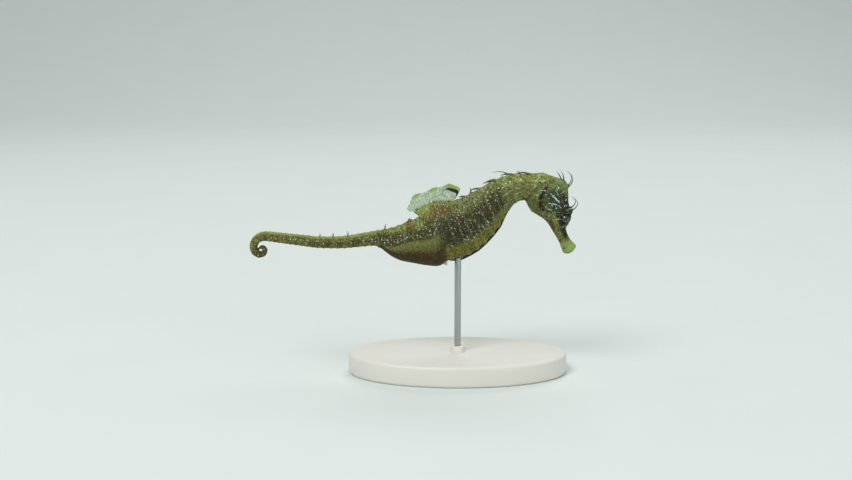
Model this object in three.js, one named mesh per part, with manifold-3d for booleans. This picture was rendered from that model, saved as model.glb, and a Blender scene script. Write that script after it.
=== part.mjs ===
// Long-snouted seahorse, a male with its brood pouch, swimming level, as a
// still life-size model on a rod and an oval base.
// Millimetres. +X is the way the animal faces, +Y its left, +Z up.
// The origin is the middle of the base's underside, under the rod.
import * as THREE from 'three';
import { mergeVertices } from 'three/addons/utils/BufferGeometryUtils.js';
import Module from 'manifold-3d';

// ---------------------------------------------------------------- sizes

// The body is drawn as a ship's lines are: at each station the point on the
// back, the point on the belly, both as [x, z], and the breadth across.
const STATIONS = [
  { name: 'lips', back: [44.1, 47.9], belly: [41.6, 46.4], breadth: 2.4 },
  { name: 'mouth', back: [44.8, 49.6], belly: [40.0, 47.0], breadth: 3.2 },
  { name: 'snoutFlare', back: [42.7, 51.9], belly: [38.6, 50.5], breadth: 3.3 },
  { name: 'snoutWaist', back: [41.3, 54.6], belly: [37.5, 52.6], breadth: 3.4 },
  { name: 'snoutRoot', back: [40.9, 56.6], belly: [35.8, 55.3], breadth: 4.4 },
  { name: 'eyeFront', back: [41.8, 58.1], belly: [34.1, 58.0], breadth: 5.9 },
  { name: 'eye', back: [42.3, 60.4], belly: [32.5, 59.7], breadth: 7.0 },
  { name: 'brow', back: [42.6, 63.1], belly: [30.2, 61.2], breadth: 7.8 },
  { name: 'forehead', back: [41.7, 66.1], belly: [28.1, 62.6], breadth: 8.6 },
  { name: 'crown', back: [41.5, 69.3], belly: [26.7, 64.3], breadth: 9.0 },
  { name: 'crownTop', back: [40.8, 72.0], belly: [25.8, 66.0], breadth: 8.8 },
  { name: 'occiput', back: [38.5, 74.6], belly: [25.4, 66.7], breadth: 8.2 },
  { name: 'nape', back: [35.3, 76.2], belly: [24.9, 67.0], breadth: 7.6 },
  { name: 'neckFront', back: [30.8, 77.2], belly: [24.2, 67.0], breadth: 7.2 },
  { name: 'neckMid', back: [25.8, 77.0], belly: [23.2, 66.7], breadth: 7.1 },
  { name: 'neckBack', back: [20.9, 76.8], belly: [21.3, 65.7], breadth: 7.4 },
  { name: 'shoulder', back: [17.1, 75.8], belly: [19.7, 63.7], breadth: 8.2 },
  { name: 'chest', back: [12.9, 74.2], belly: [17.8, 60.8], breadth: 9.4 },
  { name: 'trunkFront', back: [8.3, 71.5], belly: [16.1, 57.0], breadth: 10.6 },
  { name: 'trunkMid', back: [4.2, 69.3], belly: [12.9, 52.8], breadth: 11.6 },
  { name: 'trunkDeep', back: [0.4, 67.4], belly: [8.7, 48.5], breadth: 12.0 },
  { name: 'trunkRear', back: [-3.1, 65.7], belly: [4.6, 45.8], breadth: 12.0 },
  { name: 'loin', back: [-6.5, 64.2], belly: [0.4, 44.0], breadth: 11.8 },
  { name: 'vent', back: [-9.3, 63.1], belly: [-3.8, 43.8], breadth: 11.7 },
  { name: 'pouchFront', back: [-11.8, 61.9], belly: [-7.0, 41.9], breadth: 12.0 },
  { name: 'pouchDeep', back: [-14.8, 60.5], belly: [-11.4, 42.0], breadth: 12.2 },
  { name: 'pouchMid', back: [-18.6, 58.8], belly: [-16.7, 42.9], breadth: 11.4 },
  { name: 'pouchRear', back: [-22.4, 57.3], belly: [-21.7, 43.9], breadth: 9.8 },
  { name: 'pouchHeel', back: [-25.9, 56.2], belly: [-25.5, 45.7], breadth: 8.0 },
  { name: 'pouchEnd', back: [-29.1, 55.6], belly: [-28.9, 48.3], breadth: 6.4 },
  { name: 'tailRoot', back: [-32.3, 55.0], belly: [-31.9, 49.6], breadth: 5.6 },
  { name: 'tailFront', back: [-37.2, 54.1], belly: [-37.1, 49.2], breadth: 5.0 },
  { name: 'tailMid', back: [-44.9, 53.0], belly: [-44.9, 48.6], breadth: 4.5 },
];

// Behind the last station the tail runs on almost straight and then winds
// into a flat spiral: its bend grows from one curvature to another.
const TAIL = {
  start: [-53.9, 50.9],
  rise: 0.1213, // radians above level, going backwards
  straight: 19.04,
  length: 36,
  bendAtCurl: 0.22, // per millimetre
  bendAtTip: 1.14,
  bendPower: 3.1,
  easeIn: 4,
  depths: [
    [0, 4.2], [0.23, 3.95], [0.39, 3.76], [0.56, 3.5], [0.69, 3.05],
    [0.81, 2.7], [0.92, 1.95], [0.97, 1.45], [1, 0.9],
  ],
  breadthShare: 0.98,
};

// Rings of bony plates. Each stands a little proud, and more so where it
// crosses one of the ridges that run along the body.
const TRUNK_RINGS = 11;
const TAIL_RINGS = 37;
const TRUNK_RING_CROWDING = 0.8; // under 1 sets the front rings further apart
const RIDGE_ANGLES = { superior: 38, lateral: 90, inferior: 138 };
const RIDGE_SPREAD = 26;
const RING_HEIGHT = 0.025; // share of the half breadth
const KNOB_HEIGHT = 0.085;

const POUCH_WAIST = 0.12; // how much slimmer the tail is than the pouch under it
const POUCH_LINE = { front: 72, rear: 92 }; // where the pouch begins, in degrees round the section

const GAP = 0.25; // between neighbouring pieces
const PARTING = 1.3; // half the gap between pouch and tail, in degrees round the section
const SEAM_OVERLAP = 0.08; // how far two lengths that are joined reach into each other

const EYE = { x: 40.1, y: 2.75, z: 60.4, radius: 1.7 };
const ORBIT = { radius: 2.3, sunk: 0.75 };
const GILL_COVER = { at: [32.6, 1.9, 66.0], radii: [5.0, 2.95, 5.4] };
const CORONET = { at: [39.1, 72.7], lean: 38, radius: 2.5, height: 1.5, sunk: 1.2, knobs: 5, knobRadius: 0.8 };
const FIN_BASE = { front: 0.4, crest: -9.0, leanFrom: -9.0, rear: -13.6, height: 3.1, lean: 3.6 };

const DORSAL_FIN = {
  thickness: 0.6,
  root: [[-17.0, 63.0], [-1.2, 66.0]],
  outline: [
    [-1.4, 66.8], [0.8, 71.2], [-1.5, 72.7], [-3.6, 73.5], [-5.9, 73.1], [-9.5, 71.8],
    [-12.5, 70.8], [-15.8, 69.5], [-18.4, 67.2], [-19.6, 64.2], [-18.2, 62.6],
  ],
  wave: 0.7,
  wavesAlong: 1.5,
};
const PECTORAL_FIN = { at: [31.4, 3.9, 66.6], length: 5.6, spread: 66, flare: 20, tilt: 8, thickness: 0.55 };
const ANAL_FIN = { at: [-4.1, 44.3], length: 2.4, spread: 60, tilt: 118, thickness: 0.55 };

const STAND = {
  length: 84, breadth: 46, height: 8, edge: 1.2,
  rodRadius: 1.25, rodTop: 48.4, socketClearance: 0.25, bossRadius: 3.2, bossHeight: 2.4,
};

// ---------------------------------------------------------------- materials

function paint(color, roughness, metalness = 0) {
  return new THREE.MeshStandardMaterial({ color, roughness, metalness });
}

const skinOlive = () => paint(0x6f6a34, 0.6);
const skinDark = () => paint(0x4a4428, 0.6);
const pouchBrown = () => paint(0x5f4f2c, 0.5);
const finMembrane = () => paint(0x8f9a5e, 0.5);
const eyeGloss = () => paint(0x3a3a22, 0.12);
const standPaint = () => paint(0xe6e4de, 0.5);
const rodSteel = () => paint(0xb9bcc0, 0.3, 1);

// ---------------------------------------------------------------- small maths

const radians = THREE.MathUtils.degToRad;
const lerp = THREE.MathUtils.lerp;
const smooth = (x, a, b) => THREE.MathUtils.smoothstep(x, Math.min(a, b), Math.max(a, b));

function along(pairs, t) {
  const last = pairs.length - 1;
  let i = 0;
  while (i < last - 1 && t > pairs[i + 1][0]) i += 1;
  const share = THREE.MathUtils.clamp((t - pairs[i][0]) / (pairs[i + 1][0] - pairs[i][0]), 0, 1);
  return lerp(pairs[i][1], pairs[i + 1][1], share);
}

function catmullRom(a, b, c, d, t) {
  const drift = (c - a) * t;
  const bend = (2 * a - 5 * b + 4 * c - d) * t * t;
  const twist = (3 * b - a - 3 * c + d) * t * t * t;
  return 0.5 * (2 * b + drift + bend + twist);
}

// ---------------------------------------------------------------- lines of the body

function tailStations() {
  const list = [];
  const step = 0.1;
  const steps = Math.round(TAIL.length / step);
  let [x, z] = TAIL.start;
  let heading = TAIL.rise;
  let sinceLast = Infinity;
  for (let i = 0; i <= steps; i += 1) {
    const s = i * step;
    const curled = Math.max(0, (s - TAIL.straight) / (TAIL.length - TAIL.straight));
    const spacing = lerp(1.6, 0.7, curled);
    if (sinceLast >= spacing || i === steps) {
      const half = along(TAIL.depths, s / TAIL.length) / 2;
      const up = [Math.sin(heading) * half, Math.cos(heading) * half];
      list.push({
        name: i === 0 ? 'tailRun' : `tail${i}`,
        back: [x + up[0], z + up[1]],
        belly: [x - up[0], z - up[1]],
        breadth: 2 * half * TAIL.breadthShare,
      });
      sinceLast = 0;
    }
    const eased = smooth(s, TAIL.straight - TAIL.easeIn / 2, TAIL.straight + TAIL.easeIn / 2);
    const bend = lerp(TAIL.bendAtCurl, TAIL.bendAtTip, curled ** TAIL.bendPower) * eased;
    heading -= bend * step;
    x -= Math.cos(heading) * step;
    z += Math.sin(heading) * step;
    sinceLast += step;
  }
  return list;
}

const LINES = [...STATIONS, ...tailStations()];
for (let i = 0; i < LINES.length; i += 1) {
  const row = LINES[i];
  row.mid = [(row.back[0] + row.belly[0]) / 2, (row.back[1] + row.belly[1]) / 2];
  const before = LINES[i - 1];
  row.at = before ? before.at + Math.hypot(row.mid[0] - before.mid[0], row.mid[1] - before.mid[1]) : 0;
}
const BODY_LENGTH = LINES[LINES.length - 1].at;

function place(name) {
  return LINES.find((row) => row.name === name).at;
}

// The lines at any distance along the middle of the body.
function linesAt(distance) {
  const d = THREE.MathUtils.clamp(distance, 0, BODY_LENGTH);
  let i = 0;
  while (i < LINES.length - 2 && d > LINES[i + 1].at) i += 1;
  const t = (d - LINES[i].at) / (LINES[i + 1].at - LINES[i].at);
  const four = [i - 1, i, i + 1, i + 2].map((k) => LINES[THREE.MathUtils.clamp(k, 0, LINES.length - 1)]);
  const blend = (pick) => catmullRom(...four.map(pick), t);
  return {
    back: [blend((row) => row.back[0]), blend((row) => row.back[1])],
    belly: [blend((row) => row.belly[0]), blend((row) => row.belly[1])],
    breadth: blend((row) => row.breadth),
  };
}

const NAPE = place('nape');
const VENT = place('vent');

// Distances of the ring ridges, 11 on the trunk and 37 on the tail, which
// stand closer together as the tail gets thinner.
function ringDistances() {
  const rings = [];
  for (let i = 0; i < TRUNK_RINGS; i += 1) {
    rings.push(lerp(NAPE + 2, VENT - 1.5, (i / (TRUNK_RINGS - 1)) ** TRUNK_RING_CROWDING));
  }
  const tail = BODY_LENGTH - VENT;
  for (let i = 0; i < TAIL_RINGS; i += 1) {
    const t = (i + 0.6) / TAIL_RINGS;
    rings.push(VENT + tail * (1.35 * t - 0.35 * t * t) * 0.992);
  }
  return rings;
}
const RINGS = ringDistances();

// ---------------------------------------------------------------- cross-sections

// How far down the section its widest point is, and how square it is.
function sectionShape(distance) {
  const tail = smooth(distance, place('pouchHeel'), place('tailFront'));
  const head = 1 - smooth(distance, place('forehead'), place('neckFront'));
  const pouch = smooth(distance, place('loin'), place('pouchFront'))
    * (1 - smooth(distance, place('pouchHeel'), place('tailRoot')));
  return {
    widest: lerp(lerp(lerp(0.46, 0.42, head), 0.62, pouch), 0.5, tail),
    power: lerp(lerp(lerp(0.86, 0.95, head), 0.84, pouch), 0.6, tail),
    ridges: (1 - head) * lerp(1, 0.5, tail),
    pouch,
    tail,
  };
}

// The line where the pouch hangs from the tail, as an angle round the section.
function pouchLine(distance) {
  return lerp(POUCH_LINE.front, POUCH_LINE.rear, smooth(distance, place('pouchMid'), place('pouchEnd')));
}

function bump(angle, centre) {
  return Math.max(0, 1 - Math.abs(angle - centre) / RIDGE_SPREAD);
}

// Height of rings and knobs at an angle from the back (0) to the belly (180),
// as a share of the half breadth. "onRing" is 1 on a ring and 0 between two.
function relief(distance, shape, angle, onRing) {
  const trunk = bump(angle, RIDGE_ANGLES.superior) + bump(angle, RIDGE_ANGLES.lateral) * (1 - shape.tail)
    + bump(angle, RIDGE_ANGLES.inferior);
  const onPouch = shape.pouch * smooth(angle, pouchLine(distance), pouchLine(distance) + 12);
  const ridge = Math.min(1, trunk) * (1 - onPouch);
  const ring = RING_HEIGHT * (1 - onPouch) * onRing;
  return shape.ridges * (ridge * lerp(0.02, KNOB_HEIGHT, onRing) + ring);
}

// Raised root of the dorsal fin, which leans backwards off the back.
function finBaseRise(x, angle) {
  const rise = smooth(-x, -FIN_BASE.front, -FIN_BASE.crest);
  const fall = 1 - smooth(-x, -FIN_BASE.rear - 0.6, -FIN_BASE.rear + 0.9);
  const across = Math.max(0, 1 - angle / RIDGE_ANGLES.superior);
  return rise * fall * across;
}

function sectionPoint(distance, angle, side, onRing, grow = 0) {
  const { back, belly, breadth } = linesAt(distance);
  const shape = sectionShape(distance);
  const a = radians(angle);
  const depth = Math.hypot(belly[0] - back[0], belly[1] - back[1]);
  const down = [(belly[0] - back[0]) / depth, (belly[1] - back[1]) / depth];
  const upper = angle <= 90;
  const reach = upper ? shape.widest * depth : (1 - shape.widest) * depth;
  const out = relief(distance, shape, angle, onRing) * breadth / 2 + grow;
  const across = Math.sin(a) ** shape.power;
  const drop = Math.sign(Math.cos(a)) * Math.abs(Math.cos(a)) ** shape.power;
  const abovePouch = 1 - smooth(angle, pouchLine(distance), pouchLine(distance) + 20);
  const waist = 1 - POUCH_WAIST * shape.pouch * abovePouch;
  const y = (breadth / 2) * across * waist + out * Math.sin(a);
  const v = shape.widest * depth - reach * drop - out * Math.cos(a);
  let x = back[0] + down[0] * v;
  let z = back[1] + down[1] * v;
  const rise = finBaseRise(back[0], angle);
  const lean = FIN_BASE.lean * smooth(-back[0], -FIN_BASE.leanFrom, -FIN_BASE.rear);
  x += (-down[0] * FIN_BASE.height - lean) * rise;
  z += (-down[1] * FIN_BASE.height - lean / 2) * rise;
  return new THREE.Vector3(x, side * y, z);
}

// ---------------------------------------------------------------- lofts

// Angles round a section: the ridges and, but for the slim tail, the points
// between them. A part of a section keeps one number of points all along.
function sectionAngles(from, to, slim) {
  const { superior, lateral, inferior } = RIDGE_ANGLES;
  if (from > 0) return [0, 1, 2, 3, 4, 5].map((k) => lerp(from, to, k / 5));
  const corners = to < 180 ? [0, superior, to] : [0, superior, lateral, inferior, 180];
  if (slim) return corners;
  const list = [];
  for (let i = 0; i < corners.length - 1; i += 1) {
    list.push(corners[i], (corners[i] + corners[i + 1]) / 2);
  }
  return [...list, to];
}

function rowsBetween(from, to) {
  const marks = [{ distance: from, onRing: 0.5 }];
  const all = [];
  for (const row of LINES) {
    if (row.at < NAPE) all.push({ distance: row.at, onRing: 0 });
  }
  RINGS.forEach((distance, i) => {
    const next = RINGS[i + 1] ?? distance + 1;
    all.push({ distance, onRing: 1 }, { distance: (distance + next) / 2, onRing: 0 });
  });
  for (const mark of all) {
    if (mark.distance > from + 0.35 && mark.distance < to - 0.35) marks.push(mark);
  }
  marks.push({ distance: to, onRing: 0.5 });
  return marks;
}

// A closed length of the body. The two angles may follow the distance, which
// parts the pouch from the tail above it.
function loft(from, to, { angleFrom = () => 0, angleTo = () => 180, grow = 0, slim = false } = {}) {
  const rows = rowsBetween(from, to);
  const rings = rows.map(({ distance, onRing }) => {
    const angles = sectionAngles(angleFrom(distance), angleTo(distance), slim);
    const right = angles.map((angle) => sectionPoint(distance, angle, -1, onRing, grow));
    const left = angles.map((angle) => sectionPoint(distance, angle, 1, onRing, grow));
    if (angleFrom(distance) === 0) left.shift();
    if (angleTo(distance) === 180) left.pop();
    return [...right, ...left.reverse()];
  });
  return skinOver(rings);
}

// Closed solid through rings of the same number of points.
function skinOver(rings) {
  const count = rings[0].length;
  const points = rings.flat();
  const faces = [];
  for (let r = 0; r < rings.length - 1; r += 1) {
    for (let k = 0; k < count; k += 1) {
      const a = r * count + k;
      const b = r * count + ((k + 1) % count);
      faces.push(a, a + count, b, b, a + count, b + count);
    }
  }
  const cap = (first, flip) => {
    const centre = new THREE.Vector3();
    for (let k = 0; k < count; k += 1) centre.addScaledVector(points[first + k], 1 / count);
    points.push(centre);
    const hub = points.length - 1;
    for (let k = 0; k < count; k += 1) {
      const a = first + k;
      const b = first + ((k + 1) % count);
      if (flip) faces.push(hub, b, a);
      else faces.push(hub, a, b);
    }
  };
  cap(0, false);
  cap((rings.length - 1) * count, true);
  const geometry = new THREE.BufferGeometry();
  geometry.setAttribute('position', new THREE.Float32BufferAttribute(points.flatMap((p) => p.toArray()), 3));
  geometry.setIndex(faces);
  return geometry;
}

// ---------------------------------------------------------------- joining and cutting

const wasm = await Module();
wasm.setup();

function solidOf(geometry) {
  const plain = geometry.clone();
  plain.deleteAttribute('normal');
  plain.deleteAttribute('uv');
  const merged = mergeVertices(plain, 1e-5);
  const solid = new wasm.Manifold(new wasm.Mesh({
    numProp: 3,
    vertProperties: new Float32Array(merged.attributes.position.array),
    triVerts: new Uint32Array(merged.index.array),
  }));
  return solid.volume() < 0 ? flipped(merged) : solid;
}

function flipped(geometry) {
  const turned = geometry.clone();
  const index = turned.index.array;
  for (let i = 0; i < index.length; i += 3) [index[i], index[i + 1]] = [index[i + 1], index[i]];
  return solidOf(turned);
}

function geometryOf(solid) {
  const mesh = solid.getMesh();
  const geometry = new THREE.BufferGeometry();
  geometry.setAttribute('position', new THREE.Float32BufferAttribute(mesh.vertProperties, 3));
  geometry.setIndex(Array.from(mesh.triVerts));
  return geometry;
}

function joined(...solids) {
  return solids.reduce((all, solid) => all.add(solid));
}

// ---------------------------------------------------------------- spines and filaments

function ball(x, y, z, radius, detail = 1) {
  return solidOf(new THREE.IcosahedronGeometry(radius, detail).translate(x, y, z));
}

// A tapering thread through points [x, y, z], at least half a millimetre thick.
function filament(points, rootRadius = 0.42, tipRadius = 0.27) {
  const curve = new THREE.CatmullRomCurve3(points.map((p) => new THREE.Vector3(...p)));
  const steps = points.length;
  const sides = 5;
  const frames = curve.computeFrenetFrames(steps, false);
  const rings = [];
  for (let i = 0; i <= steps; i += 1) {
    const centre = curve.getPointAt(i / steps);
    const radius = lerp(rootRadius, tipRadius, i / steps);
    const ring = [];
    for (let k = 0; k < sides; k += 1) {
      const a = (2 * Math.PI * k) / sides;
      ring.push(centre.clone()
        .addScaledVector(frames.normals[i], radius * Math.cos(a))
        .addScaledVector(frames.binormals[i], radius * Math.sin(a)));
    }
    rings.push(ring);
  }
  return solidOf(skinOver(rings));
}

// The same thread on both sides of the animal.
function filamentPair(points, rootRadius, tipRadius) {
  const other = points.map(([x, y, z]) => [x, -y, z]);
  return joined(filament(points, rootRadius, tipRadius), filament(other, rootRadius, tipRadius));
}

// ---------------------------------------------------------------- pieces

const cuts = {
  snout: place('snoutRoot'),
  nape: place('nape'),
  shoulder: place('shoulder'),
  vent: place('vent'),
  pouchEnd: place('pouchEnd'),
  tailRoot: place('tailRoot'),
  tailRun: place('tailRun') + 7,
};
const half = GAP / 2;

function snout() {
  return solidOf(loft(0, cuts.snout - half));
}

function head() {
  const skull = solidOf(loft(cuts.snout + half, cuts.nape - half));
  const spines = joined(
    filamentPair([[41.4, 2.3, 62.6], [43.2, 2.7, 63.6], [44.0, 2.9, 64.1]], 0.9, 0.35),
    filamentPair([[43.6, 2.8, 63.9], [44.9, 3.0, 65.8], [44.3, 3.1, 67.4], [42.9, 3.2, 67.9]], 0.34, 0.27),
    filamentPair([[38.4, 1.6, 57.4], [38.5, 3.4, 56.6], [38.5, 4.2, 56.1]], 0.7, 0.3),
    filamentPair([[34.3, 1.6, 61.6], [33.6, 3.9, 60.4], [33.3, 4.6, 59.9]], 0.8, 0.3),
    filamentPair([[39.8, 1.2, 70.8], [42.5, 1.9, 74.2], [42.6, 2.2, 76.4], [41.3, 2.4, 77.6]], 0.42, 0.27),
  );
  const sockets = joined(
    ball(EYE.x, EYE.y, EYE.z, EYE.radius + GAP, 2),
    ball(EYE.x, -EYE.y, EYE.z, EYE.radius + GAP, 2),
  );
  const rims = joined(
    ball(EYE.x, EYE.y - ORBIT.sunk, EYE.z, ORBIT.radius, 2),
    ball(EYE.x, ORBIT.sunk - EYE.y, EYE.z, ORBIT.radius, 2),
  );
  return joined(skull, rims, gillCover(1), gillCover(-1), spines).subtract(sockets).subtract(crown(GAP));
}

function gillCover(side, grow = 0) {
  const [x, y, z] = GILL_COVER.at;
  const radii = GILL_COVER.radii.map((radius) => radius + grow);
  const dome = new THREE.SphereGeometry(1, 14, 10).rotateX(Math.PI / 2).scale(...radii);
  return solidOf(dome.rotateY(radians(20)).translate(x, side * y, z));
}

// Low crown on the back of the skull: a short column turned to the lean of
// the skull, with blunt knobs round its rim.
function crown(grow = 0) {
  const { radius, height, sunk, knobs, knobRadius, at, lean } = CORONET;
  const profile = [
    [0, -sunk - grow],
    [radius * 0.9 + grow, -sunk - grow],
    [radius * 0.86 + grow, 0.2],
    [radius + grow, height * 0.62],
    [radius * 0.62 + grow, height * 0.9 + grow],
    [0, height * 0.7 + grow],
  ];
  const column = new THREE.LatheGeometry(profile.map((p) => new THREE.Vector2(...p)), 12);
  let solid = solidOf(column.rotateX(Math.PI / 2));
  for (let i = 0; i < knobs; i += 1) {
    const a = (2 * Math.PI * i) / knobs;
    const rim = radius * 0.84;
    solid = solid.add(ball(rim * Math.cos(a), rim * Math.sin(a), height * 0.6, knobRadius + grow));
  }
  return solid.rotate([0, lean, 0]).translate([at[0], 0, at[1]]);
}

function coronet() {
  const threads = joined(
    filamentPair([[39.3, 1.2, 73.8], [38.0, 1.9, 76.2], [37.0, 2.3, 77.8]], 0.36, 0.27),
    filamentPair([[40.0, 0.7, 72.6], [39.6, 0.9, 76.0], [38.6, 1.0, 77.9]], 0.36, 0.27),
  );
  return joined(crown(), threads);
}

function neck() {
  const ringed = solidOf(loft(cuts.nape + half, cuts.shoulder - half));
  const threads = joined(
    filament([[17.9, 1.2, 75.4], [18.6, 1.3, 76.9], [15.6, 1.4, 77.6], [12.6, 1.5, 77.3]], 0.4, 0.27),
    filament([[23.6, -1.2, 76.6], [22.6, -1.4, 78.0], [21.8, -1.5, 78.5]], 0.4, 0.27),
    filamentPair([[28.0, 0.8, 76.5], [26.4, 0.9, 77.1], [24.2, 1.0, 77.5], [22.0, 1.1, 77.4]], 0.44, 0.27),
    filamentPair([[22.0, 0.8, 76.1], [20.2, 0.9, 76.8], [18.0, 1.0, 77.0], [15.8, 1.1, 76.5]], 0.48, 0.27),
  );
  return joined(ringed, threads);
}

function trunk() {
  const ringed = solidOf(loft(cuts.shoulder + half, cuts.vent - half));
  const threads = joined(
    filamentPair([[15.2, 0.8, 74.2], [13.4, 0.9, 74.7], [11.3, 1.0, 74.1], [9.2, 1.1, 73.2]], 0.52, 0.27),
    filamentPair([[8.6, 0.8, 71.1], [7.2, 0.9, 71.4], [5.6, 1.0, 71.1], [4.2, 1.1, 70.6]], 0.44, 0.27),
    filament([[4.4, 0.8, 69.0], [4.8, 0.9, 70.8], [4.4, 1.0, 72.0]], 0.5, 0.28),
    filamentPair([[2.6, 0.9, 67.8], [1.8, 1.1, 68.4], [0.8, 1.2, 68.3], [0.0, 1.3, 68.0]], 0.44, 0.27),
  );
  const socket = new THREE.CylinderGeometry(
    STAND.rodRadius + STAND.socketClearance,
    STAND.rodRadius + STAND.socketClearance,
    STAND.rodTop + GAP - 30,
    16,
  );
  socket.rotateX(Math.PI / 2).translate(0, 0, (STAND.rodTop + GAP + 30) / 2);
  return joined(ringed, threads).subtract(solidOf(socket));
}

function tailBase() {
  const angleTo = (distance) => pouchLine(distance) - PARTING;
  const upper = solidOf(loft(cuts.vent + half, cuts.pouchEnd - half, { angleTo }));
  const rear = solidOf(loft(cuts.pouchEnd - half - SEAM_OVERLAP, cuts.tailRoot - half));
  const spine = filamentPair([[-18.6, 0.9, 57.4], [-18.3, 1.7, 58.9], [-18.5, 1.9, 59.6]], 0.9, 0.35);
  const thread = filamentPair([[-28.2, 1.0, 54.8], [-27.8, 1.5, 57.4], [-28.3, 1.6, 58.9]], 0.45, 0.27);
  return joined(upper, rear, spine, thread);
}

function broodPouch() {
  const angleFrom = (distance) => pouchLine(distance) + PARTING;
  return solidOf(loft(cuts.vent + half, cuts.pouchEnd - half - GAP, { angleFrom }));
}

function tailMiddle() {
  const ringed = solidOf(loft(cuts.tailRoot + half, cuts.tailRun - half, { slim: true }));
  const threads = joined(
    ...[[-42.0, 52.9], [-47.6, 52.3], [-52.6, 52.2]].map(([x, z]) => (
      filamentPair([[x, 1.2, z], [x + 0.2, 1.5, z + 1.4], [x - 0.2, 1.6, z + 2.0]], 0.42, 0.27))),
  );
  return joined(ringed, threads);
}

function tailCoil() {
  return solidOf(loft(cuts.tailRun + half, BODY_LENGTH - 0.05, { slim: true }));
}

function eyeball() {
  return new THREE.SphereGeometry(EYE.radius, 16, 9).rotateX(Math.PI / 2);
}

// Bodies a little larger than life, to keep the gap where a fin meets them.
function clearanceBody() {
  return joined(
    solidOf(loft(cuts.snout + half, VENT, { grow: GAP })),
    solidOf(loft(VENT, cuts.tailRoot, { grow: GAP })),
    gillCover(1, GAP),
    gillCover(-1, GAP),
  );
}

// Rayed sail on the fin base. A slow wave runs along it, as when it beats.
function dorsalFin() {
  const { root, outline, thickness, wave, wavesAlong } = DORSAL_FIN;
  const edge = new THREE.SplineCurve(outline.map((p) => new THREE.Vector2(...p)));
  const rays = 22;
  const rings = [];
  for (let i = 0; i <= rays; i += 1) {
    const t = i / rays;
    const foot = new THREE.Vector2(...root[1]).lerp(new THREE.Vector2(...root[0]), t);
    const tip = edge.getPointAt(t);
    const inner = [];
    const outer = [];
    for (let k = 0; k <= 3; k += 1) {
      const p = foot.clone().lerp(tip, k / 3);
      const sway = wave * (k / 3) * Math.sin(2 * Math.PI * wavesAlong * t + 1);
      inner.push(new THREE.Vector3(p.x, sway - thickness / 2, p.y));
      outer.push(new THREE.Vector3(p.x, sway + thickness / 2, p.y));
    }
    rings.push([...inner, ...outer.reverse()]);
  }
  return solidOf(skinOver(rings));
}

// A flat fan about its root: spread in degrees, thickness across.
function fan(length, spread, thickness) {
  const shape = new THREE.Shape();
  const reach = radians(spread / 2);
  const root = length * 0.3;
  shape.moveTo(0, -root * 0.5);
  shape.absarc(0, 0, length, -reach, reach, false);
  shape.lineTo(0, root * 0.5);
  const settings = { depth: thickness, bevelEnabled: false, curveSegments: 10 };
  return new THREE.ExtrudeGeometry(shape, settings).translate(0, 0, -thickness / 2);
}

// The fan is drawn pointing back along -X with its flat sides to left and right.
function pectoralFin(side) {
  const plate = fan(PECTORAL_FIN.length, PECTORAL_FIN.spread, PECTORAL_FIN.thickness);
  plate.rotateX(Math.PI / 2).rotateZ(Math.PI).rotateY(radians(-PECTORAL_FIN.tilt));
  plate.rotateZ(radians(-PECTORAL_FIN.flare) * side);
  const [x, y, z] = PECTORAL_FIN.at;
  return solidOf(plate.translate(x, side * y, z));
}

function analFin() {
  const plate = fan(ANAL_FIN.length, ANAL_FIN.spread, ANAL_FIN.thickness);
  plate.rotateX(Math.PI / 2).rotateY(radians(ANAL_FIN.tilt));
  return solidOf(plate.translate(ANAL_FIN.at[0], 0, ANAL_FIN.at[1]));
}

function standBase() {
  const { length, breadth, height, edge, rodRadius, bossRadius, bossHeight } = STAND;
  const oval = new THREE.Shape();
  oval.absellipse(0, 0, length / 2 - edge, breadth / 2 - edge, 0, 2 * Math.PI, false, 0);
  const plate = new THREE.ExtrudeGeometry(oval, {
    depth: height - 2 * edge, bevelThickness: edge, bevelSize: edge, bevelSegments: 2, curveSegments: 20,
  });
  plate.translate(0, 0, edge);
  const boss = new THREE.CylinderGeometry(bossRadius * 0.7, bossRadius, bossHeight + 1, 16);
  boss.rotateX(Math.PI / 2).translate(0, 0, height + (bossHeight - 1) / 2);
  const bore = new THREE.CylinderGeometry(rodRadius + GAP, rodRadius + GAP, height + bossHeight, 16);
  bore.rotateX(Math.PI / 2).translate(0, 0, 3 + (height + bossHeight) / 2);
  return joined(solidOf(plate), solidOf(boss)).subtract(solidOf(bore));
}

function standRod() {
  const foot = 3 + GAP;
  const rod = new THREE.CylinderGeometry(STAND.rodRadius, STAND.rodRadius, STAND.rodTop - foot, 16);
  return rod.rotateX(Math.PI / 2).translate(0, 0, (STAND.rodTop + foot) / 2);
}

// ---------------------------------------------------------------- the model

const seahorse = new THREE.Group();

function addPiece(name, shape, material) {
  const geometry = shape instanceof THREE.BufferGeometry ? shape : geometryOf(shape);
  const mesh = new THREE.Mesh(geometry, material);
  mesh.name = name;
  seahorse.add(mesh);
  return mesh;
}

const clearance = clearanceBody();

addPiece('snout', snout(), skinDark());
addPiece('head', head(), skinDark());
addPiece('coronet', coronet(), skinOlive());
for (const [name, side] of [['eye_right', -1], ['eye_left', 1]]) {
  addPiece(name, eyeball(), eyeGloss()).position.set(EYE.x, side * EYE.y, EYE.z);
}
addPiece('neck', neck(), skinOlive());
addPiece('trunk', trunk(), skinOlive());
addPiece('tail_base', tailBase(), skinOlive());
addPiece('brood_pouch', broodPouch(), pouchBrown());
addPiece('tail_middle', tailMiddle(), skinOlive());
addPiece('tail_coil', tailCoil(), skinDark());
addPiece('dorsal_fin', dorsalFin().subtract(clearance), finMembrane());
for (const [name, side] of [['pectoral_fin_right', -1], ['pectoral_fin_left', 1]]) {
  addPiece(name, pectoralFin(side).subtract(clearance), finMembrane());
}
addPiece('anal_fin', analFin().subtract(clearance), finMembrane());
addPiece('stand_base', standBase(), standPaint());
addPiece('stand_rod', standRod(), rodSteel());

export default seahorse;
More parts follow.
